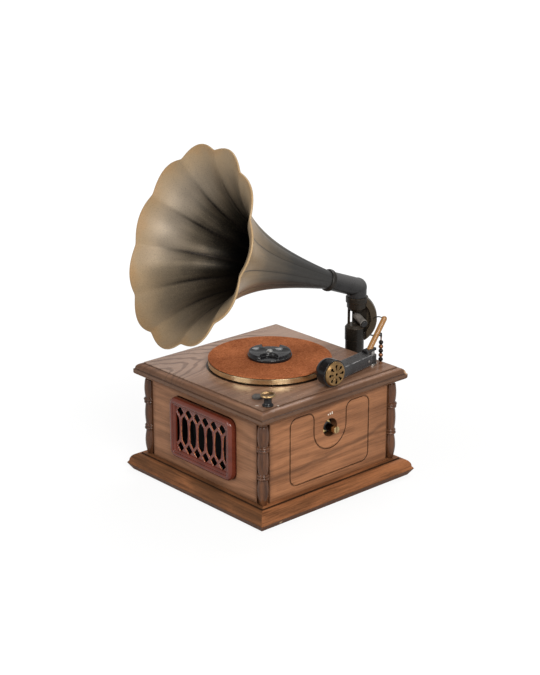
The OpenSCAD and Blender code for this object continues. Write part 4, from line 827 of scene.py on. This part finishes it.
# Orange edges of the openings: part wear, part painted highlight.
worn_and_lit_edge = from_edge.rise(0.50, 0.12) * grainy(web, spot, 260.0, 2.0).rise(0.30, 0.60)
tint = (worn_and_lit_edge * 0.85).mix(on_frame.mix((0.135, 0.034, 0.023), frame_tint), (0.42, 0.150, 0.062))
maroon = settle(
    material, Base_Color=tint, Roughness=0.18 + (cloud - 0.5) * 0.12, Specular_IOR_Level=0.22, Coat_Weight=0.45,
    Coat_Roughness=0.03, Normal=bumped(web, grainy(web, spot, 900.0, 2.0), 0.00002, 0.4))
grille = add_piece(
    "grille_moulding", np.concatenate([lattice, frame_points.reshape(-1, 3)]),
    np.concatenate([lattice_faces[:, ::-1], frame_faces[:, ::-1] + len(lattice)]), [maroon], "cabinet",
    ["grille"])
far_from_openings = 2.0
distance = np.concatenate([gap[use], np.full(frame_points.size // 3, far_from_openings)])
framed = np.arange(len(distance)) >= len(lattice)
add_map(grille, "edge_and_frame", np.stack([distance, framed], -1))
thick = grille.modifiers.new("wall", "SOLIDIFY")
thick.thickness, thick.offset = 0.0012, -1.0

# %% [markdown]
# ## The bead chain
# The chain is a string of round beads that touch, hung from a ring on the hook and held by a small foot on the lid.
# Seen along its axis every bead is a circle, so the string is one profile of half circles turned about that axis.

# %% Bead string
chain_low, chain_high = (np.array(c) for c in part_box("bead_chain"))
chain_axis = (chain_low + chain_high)[:2] / 2
bead_r, foot_r, wire_r, ring_r, ring_wire = 0.0020, 0.0020, 0.0006, 0.0024, 0.0008
ring_steps, tube_steps = 40, 12
string_top = chain_high[2] - 2 * ring_r
pitch_beads = (string_top - lid_level) / 6


def full_turn(steps):
    """Angles of an even round, without the one that would repeat the first."""
    return np.linspace(0, 2 * np.pi, steps, endpoint=False)


def spun(radius, angle, height, axis=(0.0, 0.0)):
    """A profile turned about an upright axis: each row has a radius and a height, each column an angle."""
    return np.stack(np.broadcast_arrays(
        axis[0] + radius * np.cos(angle), axis[1] + radius * np.sin(angle), height), -1)


def string_radius(height):
    """Half circles round the nearest bead's middle, never thinner than the wire, widening to a foot on the lid."""
    nearest = pitch_beads * np.clip(np.round(height / pitch_beads), 1, 5)
    bead = np.sqrt(np.clip(bead_r ** 2 - (height - nearest) ** 2, 0, None))
    return np.maximum.reduce([bead, np.full_like(height, wire_r), foot_r - np.abs(height)])


tall = np.linspace(0, string_top - lid_level, 140)
about = full_turn(24)
girth = string_radius(tall)[:, None]
string = spun(girth, about, tall[:, None] + lid_level, chain_axis)
tube, turn_ring = full_turn(tube_steps)[None, :], full_turn(ring_steps)[:, None]
out_by = ring_r - ring_wire + ring_wire * np.cos(tube)
sideways, lift = out_by * np.cos(turn_ring), out_by * np.sin(turn_ring)
across = ring_wire * np.sin(tube)
ring = np.stack([
    chain_axis[0] + (across - sideways) * half_root, chain_axis[1] + (across + sideways) * half_root,
    string_top + ring_r + lift], -1)
string_faces = grid_quads(len(girth), len(about), wrap=True)
ring_faces = tyre_quads(ring_steps, tube_steps) + string.size // 3
add_piece(
    "chain_of_beads", np.concatenate([string.reshape(-1, 3), ring.reshape(-1, 3)]),
    np.concatenate([string_faces, ring_faces]), [copper], "cabinet", ["bead_chain"],
    end_caps(len(girth), len(about)))

# %% [markdown]
# ## The record adapter
# The adapter fills the large hole of a single. It is a low disc with two shallow dishes for finger and thumb,
# bitten away in front and behind so that it can be gripped.
# Its top is a height that depends on the place over the disc,
# carried down at the rim and closed underneath, so the grid wraps round both ways like a tyre.

# %% Adapter surface
adapter_low = np.array(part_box("record_adapter")[0])
adapter_r, hole_r, base_h, wing_h, dish_r, dish_h = 19.0, 3.68, 2.6, 2.7, 7.9, 1.35
dish_at, bite_at, bite_r = 0.52 * adapter_r, 0.72 * adapter_r, 7.6


def soft_step(value, width):
    """0 below 0 and 1 above width, joined by a smooth curve."""
    share = np.clip(value / width, 0, 1)
    return share * share * (3 - 2 * share)


def adapter_top(a, b):
    """Height over the mat in millimetres: a base plus wings, which end at the bites and the rim and hold two bowls."""
    wing = soft_step(np.hypot(a, np.abs(b) - bite_at) - bite_r, 0.5)
    wing = wing * soft_step(adapter_r - 0.5 - np.hypot(a, b), 0.7)
    bowl = dish_h * np.clip(1 - (np.hypot(np.abs(a) - dish_at, b) / dish_r) ** 2, 0, None)
    return base_h + wing * (wing_h - bowl)


about = full_turn(288)
out = np.linspace(hole_r, adapter_r - 0.15, 60)
heights = adapter_top(out[:, None] * np.cos(about), out[:, None] * np.sin(about))
edge_r = np.array([adapter_r, adapter_r, adapter_r - 0.3, hole_r])
edge_h = np.array([base_h - 0.15, 0.3, 0.0, 0.0])
radii = np.concatenate([out, edge_r])[:, None]
heights = np.concatenate([heights, np.repeat(edge_h[:, None], len(about), 1)])
facing = about + np.pi / 4
disc = spun(radii, facing, heights) / 1000 + [0, 0, adapter_low[2]]
add_piece(
    "adapter_dishes", disc.reshape(-1, 3), tyre_quads(len(radii), len(about))[:, ::-1], [adapter_gloss], "adapter",
    ["record_adapter"])

# %% [markdown]
# ## The selector's stem
# Under its brass cap the selector is a slim waisted stem on a wider foot, so it is a profile turned about its axis.

# %% Turned stem
stem_low, stem_high = (np.array(c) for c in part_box("selector_stem"))
stem_axis, head = (stem_low + stem_high)[:2] / 2, stem_high[2]
foot = lid_level + 0.0001
stem_r = np.array([1.6, 1.6, 4.6, 4.6, 4.2, 3.5, 3.2, 3.2, 3.5, 3.8])[:, None] / 1000
stem_z = np.array([
    stem_low[2], foot, foot, foot + 0.0008, foot + 0.0012, foot + 0.0018, foot + 0.0028, head - 0.0018, head - 0.0006,
    head])[:, None]
about = full_turn(48)
add_piece(
    "selector_waist", spun(stem_r, about, stem_z, stem_axis).reshape(-1, 3),
    grid_quads(len(stem_r), len(about), wrap=True), [black_gloss], "selector", ["selector_stem"],
    end_caps(len(stem_r), len(about)))

# %% [markdown]
# ## Finishes for the solids
# Every other solid is already the right shape, so it only takes its finish.

# %% Assign finishes
finishes = {
    **wood,
    **dict.fromkeys((
        "spindle", "bottom_screws", "speaker_screws", "speaker_magnet", "board_posts", "transformer", "motor",
        "arm_post", "arm_pin", "bracket_screws"), steel),
    **dict.fromkeys((
        "selector_stem", "selector_switch", "sound_box", "cartridge", "stub_cap", "peg_block"), black_gloss),
    **dict.fromkeys(("arm_yoke", "platter", "volume_body", "horn_elbow"), slate),
    **dict.fromkeys(("horn_ring", "hook_pin", "stay_wire"), black_wire),
    **dict.fromkeys(("volume_bracket", "horn_bracket"), black_paint),
    **dict.fromkeys(("spindle_bush", "motor_pulley"), brass),
    **dict.fromkeys(("speaker_basket", "speaker_cone"), soot),
    **dict.fromkeys(("drive_belt", "cord_bush"), rubber),
    "platter_rim": rim_brass, "selector_cap": dish_brass, "sound_box_cap": cap_brass, "volume_nut": brightened_nut_brass,
    "volume_shaft": shaft_brass, "tone_arm": arm_paint, "stub_tube": brightened_stub_metal, "record_adapter": adapter_gloss,
    "lid_pad": pad_grey, "platter_mat": felt, "wooden_peg": amber, "bead_chain": copper,
    "amplifier_board": board_green, "horn": outside, "grille": maroon,
}
for name, finish in finishes.items():
    nodes[name].data.materials.clear()
    nodes[name].data.materials.append(finish)
print("bare solids:", sorted(set(nodes) - set(finishes)))

# %% [markdown]
# ## Floor and light
# The object stands on a white sweep. The floor shows white to the camera and keeps a trace of shadow under the plinth.
# Three broad lamps and a dim pale sky light it, the strongest from the right, so dark gaps stay dark.

# %% Floor
gloss_share = 0.3


def sees_backdrop(web):
    """1 for what the camera sees directly or through glass, and a smaller share for what it sees in a gloss."""
    camera_ray, glass_ray, gloss_ray = (
        web.node("LightPath", out=f"Is {kind} Ray") for kind in ("Camera", "Transmission", "Glossy"))
    return camera_ray.most(glass_ray).most(gloss_ray * gloss_share)


def show(shader, kind):
    """Plugs a shader into the output node of its web."""
    tree = shader.tree
    tree.links.new(shader.socket, next(n for n in tree.nodes if n.type == kind).inputs["Surface"])


material, web = new_finish("white_floor")
tree = material.node_tree
tree.nodes.remove(next(n for n in tree.nodes if n.type == "BSDF_PRINCIPLED"))
from_middle = away_from((0.0, 0.0), *parts_of(web, spot_of(web), "XY"))
white = 0.80 + 0.17 * from_middle.rise(0.15, 0.50)
matt = web.node("BsdfDiffuse", {}, {"Color": (0.55, 0.55, 0.55, 1)})
glow = web.node("Emission", {}, {"Color": (1, 1, 1, 1), "Strength": 1.10})
show(web.node("MixShader", {}, {0: sees_backdrop(web) * white, 1: matt, 2: glow}), "OUTPUT_MATERIAL")
floor_reach, floor_lines = 6, 13
u, v = np.meshgrid(*[np.linspace(-floor_reach, floor_reach, floor_lines)] * 2, indexing="ij")
floor_points = np.stack([u, v, np.zeros_like(u)], -1).reshape(-1, 3)
mesh = bpy.data.meshes.new("floor")
mesh.from_pydata(floor_points.tolist(), [], grid_quads(floor_lines, floor_lines)[:, ::-1].tolist())
mesh.materials.append(material)
floor = bpy.data.objects.new("floor", mesh)
scene.collection.objects.link(floor)
print("floor", 2 * floor_reach, "metres wide")

# %% Sky
world = bpy.data.worlds.new("sky")
scene.world = world
world.use_nodes = True
sky = Wire(world.node_tree)
ambient = sky.node("Background", {}, {"Color": (1.0, 0.985, 0.96, 1), "Strength": 0.30})
plain = sky.node("Background", {}, {"Color": (1, 1, 1, 1), "Strength": 1.0})
show(sky.node("MixShader", {}, {0: sees_backdrop(sky), 1: ambient, 2: plain}), "OUTPUT_WORLD")
print("sky made")


# %% Lamps
def lamp(name, place, aim, size, power, colour=(1, 1, 1)):
    """A square lamp at place that faces aim."""
    light = bpy.data.lights.new(name, "AREA")
    light.size, light.energy, light.color = size, power, colour
    away = np.subtract(place, aim) / np.linalg.norm(np.subtract(place, aim))
    level = np.cross([0, 0, 1], away) / np.linalg.norm(np.cross([0, 0, 1], away))
    turned_to = np.eye(4)
    turned_to[:3, :3] = np.stack([level, np.cross(away, level), away], axis=1)
    turned_to[:3, 3] = place
    holder = bpy.data.objects.new(name, light)
    holder.matrix_world = Matrix(turned_to.tolist())
    scene.collection.objects.link(holder)


lamp("key", (1.35, -0.55, 1.05), (0, 0, 0.1), 0.8, 28.0, (1.0, 0.97, 0.93))
lamp("fill", (-0.10, -1.40, 0.62), (-0.03, 0, 0.17), 0.8, 9.0)
lamp("rear", (-0.45, 0.85, 1.50), (0, 0, 0.1), 0.8, 11.0)
scene.view_settings.view_transform = "Standard"
print("lamps placed")
